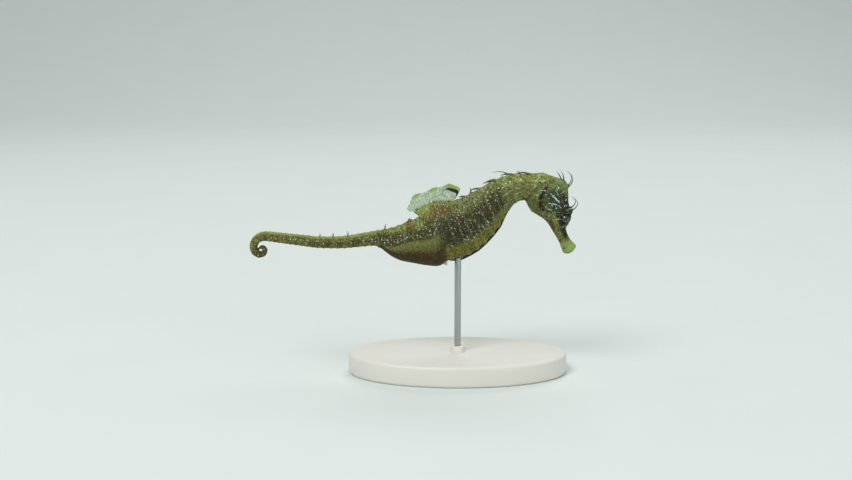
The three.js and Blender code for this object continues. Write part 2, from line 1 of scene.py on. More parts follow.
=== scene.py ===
"""Looks of a life-size long-snouted seahorse on its display stand.

A small Blender add-on, run as a script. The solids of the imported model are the
fixed frame. One skin is drawn over head, trunk, pouch and tail from the same
lines as the solids, and gets its rings, ridges, knobs and markings here.
Lengths in the tables are millimetres; everything in the scene is metres.
"""
import functools
import math

import bpy
import numpy as np
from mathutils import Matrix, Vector


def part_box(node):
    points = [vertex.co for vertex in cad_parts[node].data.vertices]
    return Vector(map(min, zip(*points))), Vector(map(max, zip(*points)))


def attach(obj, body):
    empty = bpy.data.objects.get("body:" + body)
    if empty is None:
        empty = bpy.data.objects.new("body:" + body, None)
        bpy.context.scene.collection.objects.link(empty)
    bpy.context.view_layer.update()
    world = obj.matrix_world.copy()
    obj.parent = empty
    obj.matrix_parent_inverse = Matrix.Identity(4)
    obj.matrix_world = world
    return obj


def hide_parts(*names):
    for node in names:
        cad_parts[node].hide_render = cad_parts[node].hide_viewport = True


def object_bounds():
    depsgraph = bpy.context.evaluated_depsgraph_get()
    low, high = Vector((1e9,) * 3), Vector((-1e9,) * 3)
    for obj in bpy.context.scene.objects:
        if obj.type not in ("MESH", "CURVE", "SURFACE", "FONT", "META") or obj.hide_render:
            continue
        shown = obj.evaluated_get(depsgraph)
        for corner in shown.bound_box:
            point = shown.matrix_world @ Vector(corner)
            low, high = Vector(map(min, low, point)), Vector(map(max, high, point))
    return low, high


bl_info = {
    "name": "Long-snouted Seahorse",
    "version": (1, 0, 0),
    "blender": (4, 5, 0),
    "location": "3D View > Sidebar > Seahorse",
    "description": "Skin, eyes, fins, filaments, stand and stage of a seahorse model",
    "category": "Add Mesh",
}

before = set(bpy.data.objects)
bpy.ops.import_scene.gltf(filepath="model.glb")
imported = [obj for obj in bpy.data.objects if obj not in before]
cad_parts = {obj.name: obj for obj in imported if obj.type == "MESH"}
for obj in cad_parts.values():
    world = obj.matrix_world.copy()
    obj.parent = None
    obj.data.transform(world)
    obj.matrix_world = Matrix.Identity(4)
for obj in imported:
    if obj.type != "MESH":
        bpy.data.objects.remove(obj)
CAD_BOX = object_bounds()
MM = 0.001

# ------------------------------------------------------------------ lines of the body

# As on a ship's plan: name, point on the back, point on the belly, breadth.
STATIONS = (
    ("lips", (44.1, 47.9), (41.6, 46.4), 2.4),
    ("mouth", (44.8, 49.6), (40.0, 47.0), 3.2),
    ("snout_flare", (42.7, 51.9), (38.6, 50.5), 3.3),
    ("snout_waist", (41.3, 54.6), (37.5, 52.6), 3.4),
    ("snout_root", (40.9, 56.6), (35.8, 55.3), 4.4),
    ("eye_front", (41.8, 58.1), (34.1, 58.0), 5.9),
    ("eye", (42.3, 60.4), (32.5, 59.7), 7.0),
    ("brow", (42.6, 63.1), (30.2, 61.2), 7.8),
    ("forehead", (41.7, 66.1), (28.1, 62.6), 8.6),
    ("crown", (41.5, 69.3), (26.7, 64.3), 9.0),
    ("crown_top", (40.8, 72.0), (25.8, 66.0), 8.8),
    ("occiput", (38.5, 74.6), (25.4, 66.7), 8.2),
    ("nape", (35.3, 76.2), (24.9, 67.0), 7.6),
    ("neck_front", (30.8, 77.2), (24.2, 67.0), 7.2),
    ("neck_mid", (25.8, 77.0), (23.2, 66.7), 7.1),
    ("neck_back", (20.9, 76.8), (21.3, 65.7), 7.4),
    ("shoulder", (17.1, 75.8), (19.7, 63.7), 8.2),
    ("chest", (12.9, 74.2), (17.8, 60.8), 9.4),
    ("trunk_front", (8.3, 71.5), (16.1, 57.0), 10.6),
    ("trunk_mid", (4.2, 69.3), (12.9, 52.8), 11.6),
    ("trunk_deep", (0.4, 67.4), (8.7, 48.5), 12.0),
    ("trunk_rear", (-3.1, 65.7), (4.6, 45.8), 12.0),
    ("loin", (-6.5, 64.2), (0.4, 44.0), 11.8),
    ("vent", (-9.3, 63.1), (-3.8, 43.8), 11.7),
    ("pouch_front", (-11.8, 61.9), (-7.0, 41.9), 12.0),
    ("pouch_deep", (-14.8, 60.5), (-11.4, 42.0), 12.2),
    ("pouch_mid", (-18.6, 58.8), (-16.7, 42.9), 11.4),
    ("pouch_rear", (-22.4, 57.3), (-21.7, 43.9), 9.8),
    ("pouch_heel", (-25.9, 56.2), (-25.5, 45.7), 8.0),
    ("pouch_end", (-29.1, 55.6), (-28.9, 48.3), 6.4),
    ("tail_root", (-32.3, 55.0), (-31.9, 49.6), 5.6),
    ("tail_front", (-37.2, 54.1), (-37.1, 49.2), 5.0),
    ("tail_mid", (-44.9, 53.0), (-44.9, 48.6), 4.5),
)

# Behind the last station the tail runs nearly straight and winds into a spiral.
TAIL_START = (-53.9, 50.9)
TAIL_RISE = 0.1213  # radians above level, going backwards
TAIL_STRAIGHT = 19.04
TAIL_LENGTH = 36.0
TAIL_BEND = (0.22, 1.14)  # turn per millimetre where the coil begins and at its tip
TAIL_BEND_POWER = 3.1
TAIL_EASE = 4.0
TAIL_DEPTHS = (  # share of the tail's length, and the depth there
    (0.0, 4.2), (0.23, 3.95), (0.39, 3.76), (0.56, 3.5), (0.69, 3.05),
    (0.81, 2.7), (0.92, 1.95), (0.97, 1.45), (1.0, 0.9),
)
TAIL_BREADTH_SHARE = 0.98
TAIL_STEP = 0.1
TAIL_STATION_SPACING = (1.6, 0.7)

# Rings of bony plates: how far the outer ones of the trunk stand from nape and
# vent, and how the others crowd together.
RINGS_FROM_NAPE, RINGS_FROM_VENT = 2.0, 1.5
TRUNK_RING_CROWDING = 0.8
TAIL_RING_CROWDING = 0.35
FIRST_TAIL_RING = 0.6
TAIL_RINGS_END = 0.992

# Where the pouch hangs from the tail, in degrees round the section, front and rear.
POUCH_LINE = (72.0, 92.0)

EYE_AT = (40.1, 2.75, 60.4)


def smooth(x, a, b):
    """0 below a, 1 above b, and an even curve between them."""
    t = np.clip((np.asarray(x, float) - a) / (b - a), 0.0, 1.0)
    return t * t * (3.0 - 2.0 * t)


def stretch(x, start, full, fading, end):
    """0 up to start, 1 from full to fading, and 0 again from end."""
    return smooth(x, start, full) * (1 - smooth(x, fading, end))


def hill(x, centre, width):
    """A round hill of height 1."""
    return np.exp(-(((np.asarray(x, float) - centre) / width) ** 2))


def mix(a, b, t):
    """a where t is 0, b where t is 1."""
    return a + (b - a) * t


def through(p0, p1, p2, p3, t):
    """A place between p1 and p2, on a smooth curve through all four points."""
    bend = (2 * p0 - 5 * p1 + 4 * p2 - p3) * t * t
    twist = (3 * p1 - p0 - 3 * p2 + p3) * t * t * t
    return 0.5 * (2 * p1 + (p2 - p0) * t + bend + twist)


def tail_stations():
    """Stations of the tail's run and coil: back x z, belly x z and breadth."""
    count = round(TAIL_LENGTH / TAIL_STEP)
    x, z = TAIL_START
    heading = TAIL_RISE
    since_last = math.inf
    rows = []
    for i in range(count + 1):
        run = i * TAIL_STEP
        curled = max(0.0, (run - TAIL_STRAIGHT) / (TAIL_LENGTH - TAIL_STRAIGHT))
        if since_last >= mix(*TAIL_STATION_SPACING, curled) or i == count:
            half = np.interp(run / TAIL_LENGTH, *zip(*TAIL_DEPTHS)) / 2
            up_x, up_z = math.sin(heading) * half, math.cos(heading) * half
            rows.append((x + up_x, z + up_z, x - up_x, z - up_z, 2 * half * TAIL_BREADTH_SHARE))
            since_last = 0.0
        eased = float(smooth(run, TAIL_STRAIGHT - TAIL_EASE / 2, TAIL_STRAIGHT + TAIL_EASE / 2))
        heading -= mix(*TAIL_BEND, curled ** TAIL_BEND_POWER) * eased * TAIL_STEP
        x -= math.cos(heading) * TAIL_STEP
        z += math.sin(heading) * TAIL_STEP
        since_last += TAIL_STEP
    return rows


LINES = np.array([(*back, *belly, breadth) for _, back, belly, breadth in STATIONS] + tail_stations())
MIDDLE = (LINES[:, 0:2] + LINES[:, 2:4]) / 2
AT = np.concatenate([[0.0], np.cumsum(np.hypot(*np.diff(MIDDLE, axis=0).T))])
BODY_LENGTH = AT[-1]
PLACE = {row[0]: AT[i] for i, row in enumerate(STATIONS)}
PLACE["tail_run"] = AT[len(STATIONS)]
PLACE["tail_tip"] = BODY_LENGTH


def lines_at(distance):
    """Back x z, belly x z and breadth at distances along the middle of the body."""
    i = np.clip(np.searchsorted(AT, distance, side="right") - 1, 0, len(AT) - 2)
    t = ((distance - AT[i]) / (AT[i + 1] - AT[i]))[:, None]
    around = (LINES[np.clip(i + k, 0, len(AT) - 1)] for k in (-1, 0, 1, 2))
    return through(*around, t)


def distance_to_line(x, z, line):
    """Least distance from places in side view to a line of several legs."""
    least = np.full(np.shape(x), np.inf)
    for (ax, az), (bx, bz) in zip(line, line[1:]):
        way_x, way_z = bx - ax, bz - az
        share = np.clip(((x - ax) * way_x + (z - az) * way_z) / (way_x ** 2 + way_z ** 2), 0, 1)
        least = np.minimum(least, np.hypot(x - ax - share * way_x, z - az - share * way_z))
    return least


def ring_distances(trunk_rings, tail_rings):
    """Where the bony rings stand, closer together towards the tip of the tail."""
    first = PLACE["nape"] + RINGS_FROM_NAPE
    last = PLACE["vent"] - RINGS_FROM_VENT
    trunk = mix(first, last, np.linspace(0, 1, trunk_rings) ** TRUNK_RING_CROWDING)
    share = (np.arange(tail_rings) + FIRST_TAIL_RING) / tail_rings
    crowded = (1 + TAIL_RING_CROWDING) * share - TAIL_RING_CROWDING * share * share
    tail = PLACE["vent"] + (BODY_LENGTH - PLACE["vent"]) * crowded * TAIL_RINGS_END
    return np.concatenate([trunk, tail])


def pouch_line(distance):
    """The line where the pouch hangs from the tail, as degrees round the section."""
    return mix(*POUCH_LINE, smooth(distance, PLACE["pouch_mid"], PLACE["pouch_end"]))


# ------------------------------------------------------------------ colours and nodes


def linear(hex_value):
    """An sRGB hex value as linear red, green and blue."""
    channels = ((hex_value >> shift & 255) / 255 for shift in (16, 8, 0))
    return tuple(c / 12.92 if c <= 0.04045 else ((c + 0.055) / 1.055) ** 2.4 for c in channels)


def colour(name, description, hex_value):
    """A colour that the user can change."""
    return bpy.props.FloatVectorProperty(
        name=name, description=description, subtype="COLOR", size=3, min=0.0, max=1.0,
        default=linear(hex_value))


def length(name, description, millimetres, low=0.0, high=500.0):
    """A length that the user can change, kept in metres."""
    return bpy.props.FloatProperty(
        name=name, description=description, subtype="DISTANCE", unit="LENGTH", precision=5,
        default=millimetres * MM, min=low * MM, max=high * MM)


def add_node(tree, kind, inputs=(), operation=None, **settings):
    """Adds a shader node with its settings.

    Inputs are named, or given in order. One given as a socket is linked to it,
    and one given as a node to that node's first output. A colour is three numbers.
    """
    node = tree.nodes.new("ShaderNode" + kind)
    if operation:
        node.operation = operation
    for key, value in settings.items():
        setattr(node, key, value)
    for key, value in (inputs.items() if isinstance(inputs, dict) else enumerate(inputs)):
        socket = node.inputs[key]
        if isinstance(value, bpy.types.Node):
            tree.links.new(value.outputs[0], socket)
        elif isinstance(value, bpy.types.NodeSocket):
            tree.links.new(value, socket)
        else:
            socket.default_value = (*value, 1.0) if socket.type == "RGBA" else value
    return node


def new_material(name):
    """An empty node material, what adds a node to it, and the place on the piece in metres."""
    material = bpy.data.materials.new(name)
    material.use_nodes = True
    material.node_tree.nodes.clear()
    add = functools.partial(add_node, material.node_tree)
    return material, add, add("TexCoord").outputs["Object"]


def add_surface(add, inputs):
    """Ends a material with its surface shader and output."""
    shader = add("BsdfPrincipled", inputs)
    add("OutputMaterial", {"Surface": shader})


def read_fields(add, names):
    """Values that the mesh carries, by name."""
    return {name: add("Attribute", attribute_name=name).outputs["Fac"] for name in names}


def lay_colours(add, ground, layers):
    """A ground with colours laid over it in turn, each by its own factor."""
    tone = ground
    for over, factor in layers:
        tone = add("Mix", {0: factor, 6: tone, 7: over}, data_type="RGBA").outputs[2]
    return tone


# ------------------------------------------------------------------ settings


class SeahorseBody(bpy.types.PropertyGroup):
    """Sizes of the skin's relief."""

    trunk_rings: bpy.props.IntProperty(
        name="Trunk rings", description="Bony rings from the nape to the vent", default=11, min=5, max=20)
    tail_rings: bpy.props.IntProperty(
        name="Tail rings", description="Bony rings behind the vent", default=37, min=20, max=50)
    ring_height: length("Ring height", "How far a ring stands up between two ridges", 0.3, high=1.0)
    ridge_height: length("Ridge height", "How far a ridge stands up between two rings", 0.1, high=1.0)
    knob_height: length("Knob height", "Height of the knob where a ring crosses a ridge", 0.55, high=2.0)
    hollow: length("Plate hollow", "How far the plates sink between rings and ridges", 0.42, high=1.0)
    fin_base_height: length("Fin base", "Height of the raised root of the dorsal fin", 3.1, high=6.0)
    dot_spacing: length("Dot spacing", "Distance between two pale dots", 1.15, low=0.3, high=5.0)


class SeahorseColours(bpy.types.PropertyGroup):
    """Colours of the skin."""

    olive: colour("Olive", "Ground colour", 0x737F44)
    brown: colour("Brown", "Brown specks and clouds", 0x493A1B)
    rust: colour("Rust", "Rusty patches on the hump, the tail and its root", 0x6E5228)
    ochre: colour("Ochre", "Yellow specks", 0x8A8540)
    band: colour("Back band", "Yellow-green band along the back", 0x97A656)
    belly: colour("Belly band", "Yellow-green band along the belly", 0x72782B)
    flank: colour("Flank", "Dark plates on the side of the trunk", 0x151E0F)
    # the ribs' own lighter tone, which also paints light on the ribs against the dark hollows of the flank
    rib: colour("Ribs", "Ribs between the dark plates", 0x4E5528)
    # nearly black: painted shade along the underside of the trunk, in the gill slits and in the mouth, and
    # the real dark of the saddles and the filament tips
    keel: colour("Keel", "Black line along the belly and behind the gill cover", 0x0C100A)
    pouch: colour("Pouch", "Upper side of the brood pouch", 0x6C7340)
    pouch_low: colour("Pouch bottom", "Underside of the brood pouch", 0x34250F)
    face: colour("Face", "Dark of the face and round the eyes", 0x0D170F)
    gill_cover: colour("Gill cover", "The plate over the gills", 0x2E3D22)
    throat: colour("Throat", "Cheek and throat", 0x5E602E)
    crown: colour("Crown", "Top of the head and nape", 0x7B945A)
    snout_tip: colour("Snout tip", "Yellow-green end of the snout", 0x97AE63)
    under_tail: colour("Under tail", "Brown lower edge of the tail", 0x594A24)
    dot: colour("Dots", "Pale blue-white dots and lines", 0xC4DAD2)


class SeahorseEye(bpy.types.PropertyGroup):
    """Size and colours of the eyes."""

    radius: length("Radius", "Radius of the eyeball", 1.7, low=0.5, high=4.0)
    iris: colour("Iris", "Ground of the iris", 0x16241A)
    streak: colour("Streaks", "Pale streaks and inner ring of the iris", 0x5C7660)
    pupil: colour("Pupil", "The pupil", 0x0B0A14)


class SeahorseFins(bpy.types.PropertyGroup):
    """Sizes and colours of the fins."""

    rays: bpy.props.IntProperty(
        name="Dorsal rays", description="Rays of the dorsal fin", default=19, min=10, max=30)
    membrane: colour("Membrane", "Thin skin between two rays", 0x87A965)
    ray: colour("Rays", "Fin rays", 0x718F4E)
    margin: colour("Margin", "Bright outer margin", 0x93B045)
    pectoral: colour("Pectoral fins", "Thin skin of the fins behind the gill covers", 0x5E6A36)
    spot: colour("Spot", "Dark spot and stripe inside the margin", 0x18281B)
    membrane_thickness: length("Membrane thickness", "Thickness between two rays", 0.12, low=0.05, high=1.0)
    ray_thickness: length("Ray thickness", "Thickness at a ray", 0.26, low=0.05, high=1.0)


class SeahorseStand(bpy.types.PropertyGroup):
    """Colours of the stand."""

    paint: colour("Base", "Paint of the base", 0xDEDBD2)
    steel: colour("Rod", "Steel of the rod", 0xB4B7B9)


class SeahorseStage(bpy.types.PropertyGroup):
    """Camera, floor and lights."""

    target: bpy.props.FloatVectorProperty(
        name="Target", description="Point that the camera looks at", subtype="XYZ", unit="LENGTH",
        default=(-12.16 * MM, 0.0, 51.68 * MM))
    distance: length("Distance", "Distance from the camera to its target", 450.0, low=50, high=3000)
    elevation: bpy.props.FloatProperty(
        name="Elevation", description="Height of the camera as an angle", subtype="ANGLE",
        default=math.radians(10))
    lens: bpy.props.FloatProperty(
        name="Lens", description="Focal length for a 36 mm sensor, in millimetres",
        default=50.03, min=10, max=300)
    floor: colour("Floor", "Matt paper floor and wall", 0xDCE2DF)


# ------------------------------------------------------------------ shared modelling

MERGE_DISTANCE = 0.002
MAP_MARGIN = 0.005  # share of the unwrap that is left free round each chart


def only(piece):
    """Deselects everything else and makes the piece active."""
    bpy.ops.object.select_all(action="DESELECT")
    piece.select_set(True)
    bpy.context.view_layer.objects.active = piece


def close_and_smooth(piece):
    """Merges the doubles of a piece, turns its faces outwards and shades it smooth."""
    only(piece)
    bpy.ops.object.mode_set(mode="EDIT")
    bpy.ops.mesh.select_all(action="SELECT")
    bpy.ops.mesh.remove_doubles(threshold=MERGE_DISTANCE * MM)
    bpy.ops.mesh.normals_make_consistent(inside=False)
    bpy.ops.object.mode_set(mode="OBJECT")
    bpy.ops.object.shade_smooth()


def apply_place(piece):
    """Puts the place and scale of a piece into its mesh."""
    only(piece)
    bpy.ops.object.transform_apply(location=True, rotation=True, scale=True)


def round_edges(piece, width, segments):
    """Bevels the sharp edges of a piece, by a width in millimetres."""
    only(piece)
    bevel = piece.modifiers.new("edge", "BEVEL")
    bevel.width = width * MM
    bevel.segments = segments
    bevel.limit_method = "ANGLE"
    bpy.ops.object.modifier_apply(modifier=bevel.name)


def add_field(mesh, name, values):
    """Gives each point of a mesh a value that a material can read."""
    field = mesh.attributes.new(name, "FLOAT", "POINT")
    field.data.foreach_set("value", np.asarray(values, np.float32).ravel())


def finish_piece(piece, name, material, slot, *nodes):
    """Names a piece, gives it its finish and puts it on the frame."""
    piece.name = name
    piece.data.name = name
    piece.data.materials.clear()
    piece.data.materials.append(material)
    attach(piece, "root")
    if nodes:
        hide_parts(*nodes)


def wrapped_grid(points, fields, charts=1):
    """A grid primitive bent into a closed skin, with its unwrap kept as OFBake.

    points are rows by columns of places in millimetres, the last column lying
    on the first. fields are named values at the same places. The unwrap is cut
    across into charts that lie side by side.
    """
    rows, columns = (count - 1 for count in points.shape[:2])
    bpy.ops.object.select_all(action="DESELECT")
    bpy.ops.mesh.primitive_grid_add(x_subdivisions=columns, y_subdivisions=rows, size=2.0, calc_uvs=True)
    piece = bpy.context.object
    mesh = piece.data
    mesh.vertices.foreach_set("co", (points * MM).astype(np.float32).ravel())
    for name, values in fields.items():
        add_field(mesh, name, np.broadcast_to(values, points.shape[:2]))
    unwrap = mesh.uv_layers[0]
    unwrap.name = "OFBake"
    flat = np.zeros(len(mesh.loops) * 2, np.float32)
    unwrap.data.foreach_get("uv", flat)
    u, v = flat.reshape(-1, 2).T
    row_of_loop = np.repeat(np.arange(len(mesh.polygons)), 4) // columns
    rows_each = math.ceil(rows / charts)
    chart = row_of_loop // rows_each
    u = (chart + mix(MAP_MARGIN * charts, 1 - MAP_MARGIN * charts, u)) / charts
    v = mix(MAP_MARGIN, 1 - MAP_MARGIN, (v * rows - chart * rows_each) / rows_each)
    unwrap.data.foreach_set("uv", np.stack([u, v], axis=1).astype(np.float32).ravel())
    close_and_smooth(piece)
    return piece


# ------------------------------------------------------------------ skin

ROW_STEPS = (("nape", 0.15), ("tail_root", 0.235), ("tail_tip", 0.255))
SKIN_COLUMNS = 112
CAP_ROWS = 8
RING_STEP_AHEAD = 4.6  # spacing of the rings that would stand ahead of the first
RING_STEP_BEHIND = 1.2  # and behind the last

# Share of the depth from the back down to the widest place, and how round the
# section is there: 1 is an ellipse, less is squarer.
WIDEST = {"trunk": 0.46, "head": 0.42, "pouch": 0.62, "tail": 0.5}
ROUNDNESS = {"trunk": 0.86, "head": 0.95, "pouch": 0.84, "tail": 0.6}
POUCH_WAIST = 0.12  # how much slimmer the tail is than the pouch under it

# Ridges in degrees round the section from the back, and their half widths, on
# the trunk and on the tail. The side ridge ends where the tail begins.
UPPER_RIDGE = (36.0, 45.0)
SIDE_RIDGE = 90.0
LOWER_RIDGE = (140.0, 135.0)
RIDGE_WIDTH = (6.5, 9.0)
RIDGE_OVER_POUCH = 3.0
RING_WIDTH = 0.17  # share of the way from ring to ring
TAIL_RELIEF, COIL_RELIEF = 0.55, 0.4  # how high rings and ridges are there
COIL_RUN = 26.0

# The fleshy root of the dorsal fin: x of its front, highest and rear place.
FIN_BASE_FRONT, FIN_BASE_CREST, FIN_BASE_REAR = 0.4, -9.0, -13.6
FIN_BASE_LEAN = 3.7
FIN_BASE_SPREAD = 34.0  # degrees round the section

# The gill cover in side view: a low dome, with ribs that fan out from a place
# near the eye, a slit behind it, and a dark rim.
GILL_AT, GILL_RADII = (35.0, 67.0), (3.9, 4.9)
GILL_FAN_FROM, GILL_RIBS = (40.0, 63.0), 24
GILL_LIFT, GILL_RIB_LIFT, GILL_SLIT = 0.5, 0.2, 0.55

ORBIT_RIM, ORBIT_RIM_HEIGHT, ORBIT_RIM_WIDTH = 2.2, 0.5, 0.36
ORBIT_PIT, ORBIT_DEPTH = (1.45, 2.0), 1.6

# Spines and knobs: place of the near one, reach, and how far and which way it
# draws out the skin. Those off the middle are made on both sides.
SPINES = (
    ((41.7, 2.4, 62.5), 1.3, (1.1, 0.35, 0.8)),  # brow spine and its tip
    ((42.1, 2.5, 63.0), 0.62, (1.5, 0.35, 1.35)),
    ((38.4, 2.5, 56.9), 0.8, (0.1, 1.3, -0.6)),  # cheek
    ((34.0, 3.3, 60.9), 0.95, (-0.5, 1.5, -0.7)),  # below the gill cover
    ((41.2, 0.0, 57.5), 0.9, (0.5, 0.0, 0.25)),  # nose
    ((38.0, 3.6, 66.0), 0.8, (0.1, 0.45, 0.1)),  # temple
    ((35.0, 2.6, 75.2), 0.9, (0.0, 0.3, 0.6)),  # nape
    ((-18.5, 1.8, 58.1), 1.25, (0.05, 0.25, 1.5)),  # back, over the pouch
)
# Bony ridges on the side of the head: x and z of points, height and half width.
HEAD_RIDGES = (
    (((42.0, 63.2), (41.4, 66.4), (40.4, 69.6)), 0.44, 0.5),
    (((38.6, 57.2), (36.4, 59.2), (34.2, 61.2)), 0.42, 0.5),
    (((40.9, 52.6), (39.8, 55.2), (38.6, 57.4)), 0.28, 0.45),
    (((38.6, 63.2), (39.2, 66.6), (38.4, 70.2), (37.4, 73.2)), 0.36, 0.45),
    (((36.4, 74.2), (32.8, 74.6), (29.4, 74.0)), 0.44, 0.55),
)
CORONET_AT = (39.1, 72.7)
CORONET_LEAN = math.radians(38)
CORONET_RADIUS = 2.1
CORONET_KNOBS = 5
CORONET_LIFT, CORONET_REACH = 1.2, 2.8
KNOB_LIFT, KNOB_REACH = 1.1, 0.8

CREASE_DEPTH, CREASES_PER_RADIAN = 0.018, 7.0
JAW_AT, JAW_WIDTH, JAW_DEPTH = 2.6, 0.22, 0.2
MOUTH_DEPTH, LIPS_LENGTH = 0.75, 0.25
TAIL_TIP_LENGTH = 0.6


class Skin:
    """The whole surface as arrays of rows by columns, in millimetres.

    What changes only along the body is a column of rows, and what changes only
    round it is one row.
    """

    def __init__(self, body):
        self.body = body
        self.rings = ring_distances(body.trunk_rings, body.tail_rings)
        self.set_rows()
        self.set_section()
        self.set_relief()
        self.set_points()
        self.raise_fin_base()
        self.base = self.points.copy()
        self.on_head = self.distance < PLACE["neck_front"]
        self.on_side = smooth(np.abs(self.base[..., 1]), 1.4, 2.6) * self.on_head
        self.set_orbits()
        self.set_gill_covers()
        self.set_head()
        self.set_snout()
        self.set_caps()
        self.set_fields()

    def set_rows(self):
        """Distances of the rows, closest on the head, with cap rows at both ends."""
        stretches = []
        start = 0.0
        for name, step in ROW_STEPS:
            end = PLACE[name]
            stretches.append(np.linspace(start, end, round((end - start) / step), endpoint=False))
            start = end
        inner = np.concatenate([*stretches, [BODY_LENGTH]])
        self.distance = np.pad(inner, CAP_ROWS, mode="edge")[:, None]
        shrink = np.sin(np.linspace(0, 1, CAP_ROWS, endpoint=False) * math.pi / 2)
        self.cap = np.concatenate([shrink, np.ones(len(inner)), shrink[::-1]])[:, None]
        index = np.interp(self.distance, self.rings, np.arange(len(self.rings)))
        before = (self.distance - self.rings[0]) / RING_STEP_AHEAD
        beyond = (self.distance - self.rings[-1]) / RING_STEP_BEHIND
        self.ring = index + np.minimum(before, 0) + np.maximum(beyond, 0)

    def set_section(self):
        """Angle from the back (0) to the belly (180), side, and regions of the body."""
        turn = np.linspace(0, 360, SKIN_COLUMNS + 1)[None, :]
        self.angle = np.abs(180 - turn)
        self.side = np.where(turn <= 180, -1.0, 1.0)
        d = self.distance
        self.head = 1 - smooth(d, PLACE["forehead"], PLACE["neck_front"])
        self.tail = smooth(d, PLACE["pouch_heel"], PLACE["tail_front"])
        pouch_run = ("loin", "pouch_front", "pouch_heel", "tail_root")
        self.pouch = stretch(d, *(PLACE[name] for name in pouch_run))
        self.off_pouch = 1 - self.pouch * smooth(self.angle - pouch_line(d), 1.0, 8.0)

    def by_region(self, values):
        """A value that goes over from trunk to head, pouch and tail."""
        value = mix(values["trunk"], values["head"], self.head)
        return mix(mix(value, values["pouch"], self.pouch), values["tail"], self.tail)

    def set_relief(self):
        """Rings, ridges, knobs, plate hollows and keel as an outward height."""
        body, a, d = self.body, self.angle, self.distance
        line = pouch_line(d)
        phase = self.ring - np.round(self.ring)
        self.on_ring = hill(phase, 0.0, RING_WIDTH)
        side_ridge = mix(SIDE_RIDGE, line - RIDGE_OVER_POUCH, self.pouch)
        width = mix(*RIDGE_WIDTH, self.tail)
        ridges = (
            hill(a, mix(*UPPER_RIDGE, self.tail), width),
            hill(a, side_ridge, width) * (1 - self.tail),
            hill(a, mix(*LOWER_RIDGE, self.tail), width),
        )
        crest = np.clip(sum(ridges), 0, 1)
        height = self.on_ring * body.ring_height * (1 - 0.5 * crest)
        for k, ridge in enumerate(ridges):
            size = 0.8 + 0.28 * np.sin(np.round(self.ring) * 2.4 + k * 1.9)  # no two knobs alike
            height = height + ridge * (body.ridge_height + self.on_ring * body.knob_height * size)
        midway = 0.5 - 0.5 * np.cos(2 * math.pi * phase)
        plate = stretch(a, 6, 28, 162, 176) * (1 - 0.75 * crest)
        height = height - midway * body.hollow * plate * mix(1.0, 1.5, self.tail)
        coil = smooth(d, PLACE["tail_run"], PLACE["tail_run"] + COIL_RUN)
        armour = (1 - self.head) * mix(1.0, TAIL_RELIEF, self.tail) * mix(1.0, COIL_RELIEF, coil)
        height = height * self.off_pouch * armour * (1 - 0.85 * smooth(a, 163, 174))
        groove = hill(a, line + 1.5, 3.2) * self.pouch
        keeled = stretch(d, PLACE["shoulder"], PLACE["chest"], PLACE["vent"] - 1, PLACE["vent"])
        keel = (1.15 * hill(a, 180, 4.8) - 0.85 * hill(a, 180, 19)) * keeled
        self.height = height / MM - 0.28 * groove + keel
        self.knob = crest * self.on_ring * self.off_pouch * (1 - self.head)

    def set_points(self):
        """Places of the skin from the lines, the section and the relief."""
        lines = lines_at(self.distance[:, 0])
        back, belly, breadth = lines[:, 0:2], lines[:, 2:4], lines[:, 4:5]
        depth = np.hypot(*(belly - back).T)[:, None]
        self.down = (belly - back) / depth
        self.back_x = back[:, 0:1]
        a = np.radians(self.angle)
        power, widest = self.by_region(ROUNDNESS), self.by_region(WIDEST)
        across = np.abs(np.sin(a)) ** power
        drop = np.sign(np.cos(a)) * np.abs(np.cos(a)) ** power
        over_pouch = 1 - smooth(self.angle - pouch_line(self.distance), 0, 20)
        waist = 1 - POUCH_WAIST * self.pouch * over_pouch
        reach = np.where(self.angle <= 90, widest, 1 - widest) * depth
        out_y, out_v = np.sin(a) * self.side, -np.cos(a)
        y = breadth / 2 * across * waist * self.side + self.height * out_y
        v = widest * depth - reach * drop + self.height * out_v
        down_x, down_z = self.down[:, 0:1], self.down[:, 1:2]
        self.points = np.stack([self.back_x + down_x * v, y, back[:, 1:2] + down_z * v], axis=-1)
        self.out = np.stack(np.broadcast_arrays(down_x * out_v, out_y, down_z * out_v), axis=-1)

    def raise_fin_base(self):
        """Draws the back up and rearwards into the fleshy root of the dorsal fin."""
        behind = -self.back_x
        rear = -FIN_BASE_REAR
        rise = stretch(behind, -FIN_BASE_FRONT, -FIN_BASE_CREST, rear - 0.6, rear + 0.7)
        self.rise = rise * np.clip(1 - self.angle / FIN_BASE_SPREAD, 0, 1) ** 1.25
        ledge = 1 + 0.14 * np.sin(self.ring * 2 * math.pi * 2)
        lift = self.body.fin_base_height / MM * ledge
        lean = FIN_BASE_LEAN * smooth(behind, -FIN_BASE_CREST, rear)
        self.points[..., 0] += (-self.down[:, 0:1] * lift - lean) * self.rise
        self.points[..., 2] += (-self.down[:, 1:2] * lift - lean / 2) * self.rise

    def lift(self, height):
        """Moves the skin outwards by a height for each point."""
        self.points = self.points + self.out * height[..., None]

    def push(self, centre, reach, vector, mirrored=True):
        """Moves the skin round a place by a vector, on both sides of the animal."""
        for side in ((-1.0, 1.0) if mirrored and centre[1] else (1.0,)):
            at = np.array([centre[0], centre[1] * side, centre[2]])
            way = np.array([vector[0], vector[1] * side, vector[2]])
            far = np.linalg.norm(self.base - at, axis=-1) / reach
            self.points = self.points + np.exp(-(far ** 2) * 1.6)[..., None] * way

    def set_orbits(self):
        """A raised rim and a pit round each eye."""
        x, y, z = (self.base[..., k] for k in range(3))
        eye_x, eye_y, eye_z = EYE_AT
        far = np.sqrt((x - eye_x) ** 2 + (y - np.sign(y) * eye_y) ** 2 + (z - eye_z) ** 2)
        rim = ORBIT_RIM_HEIGHT * hill(far, ORBIT_RIM, ORBIT_RIM_WIDTH)
        pit = ORBIT_DEPTH * (1 - smooth(far, *ORBIT_PIT))
        self.lift((rim - pit) * self.on_head)
        self.eye_far = np.hypot(x - eye_x, z - eye_z)

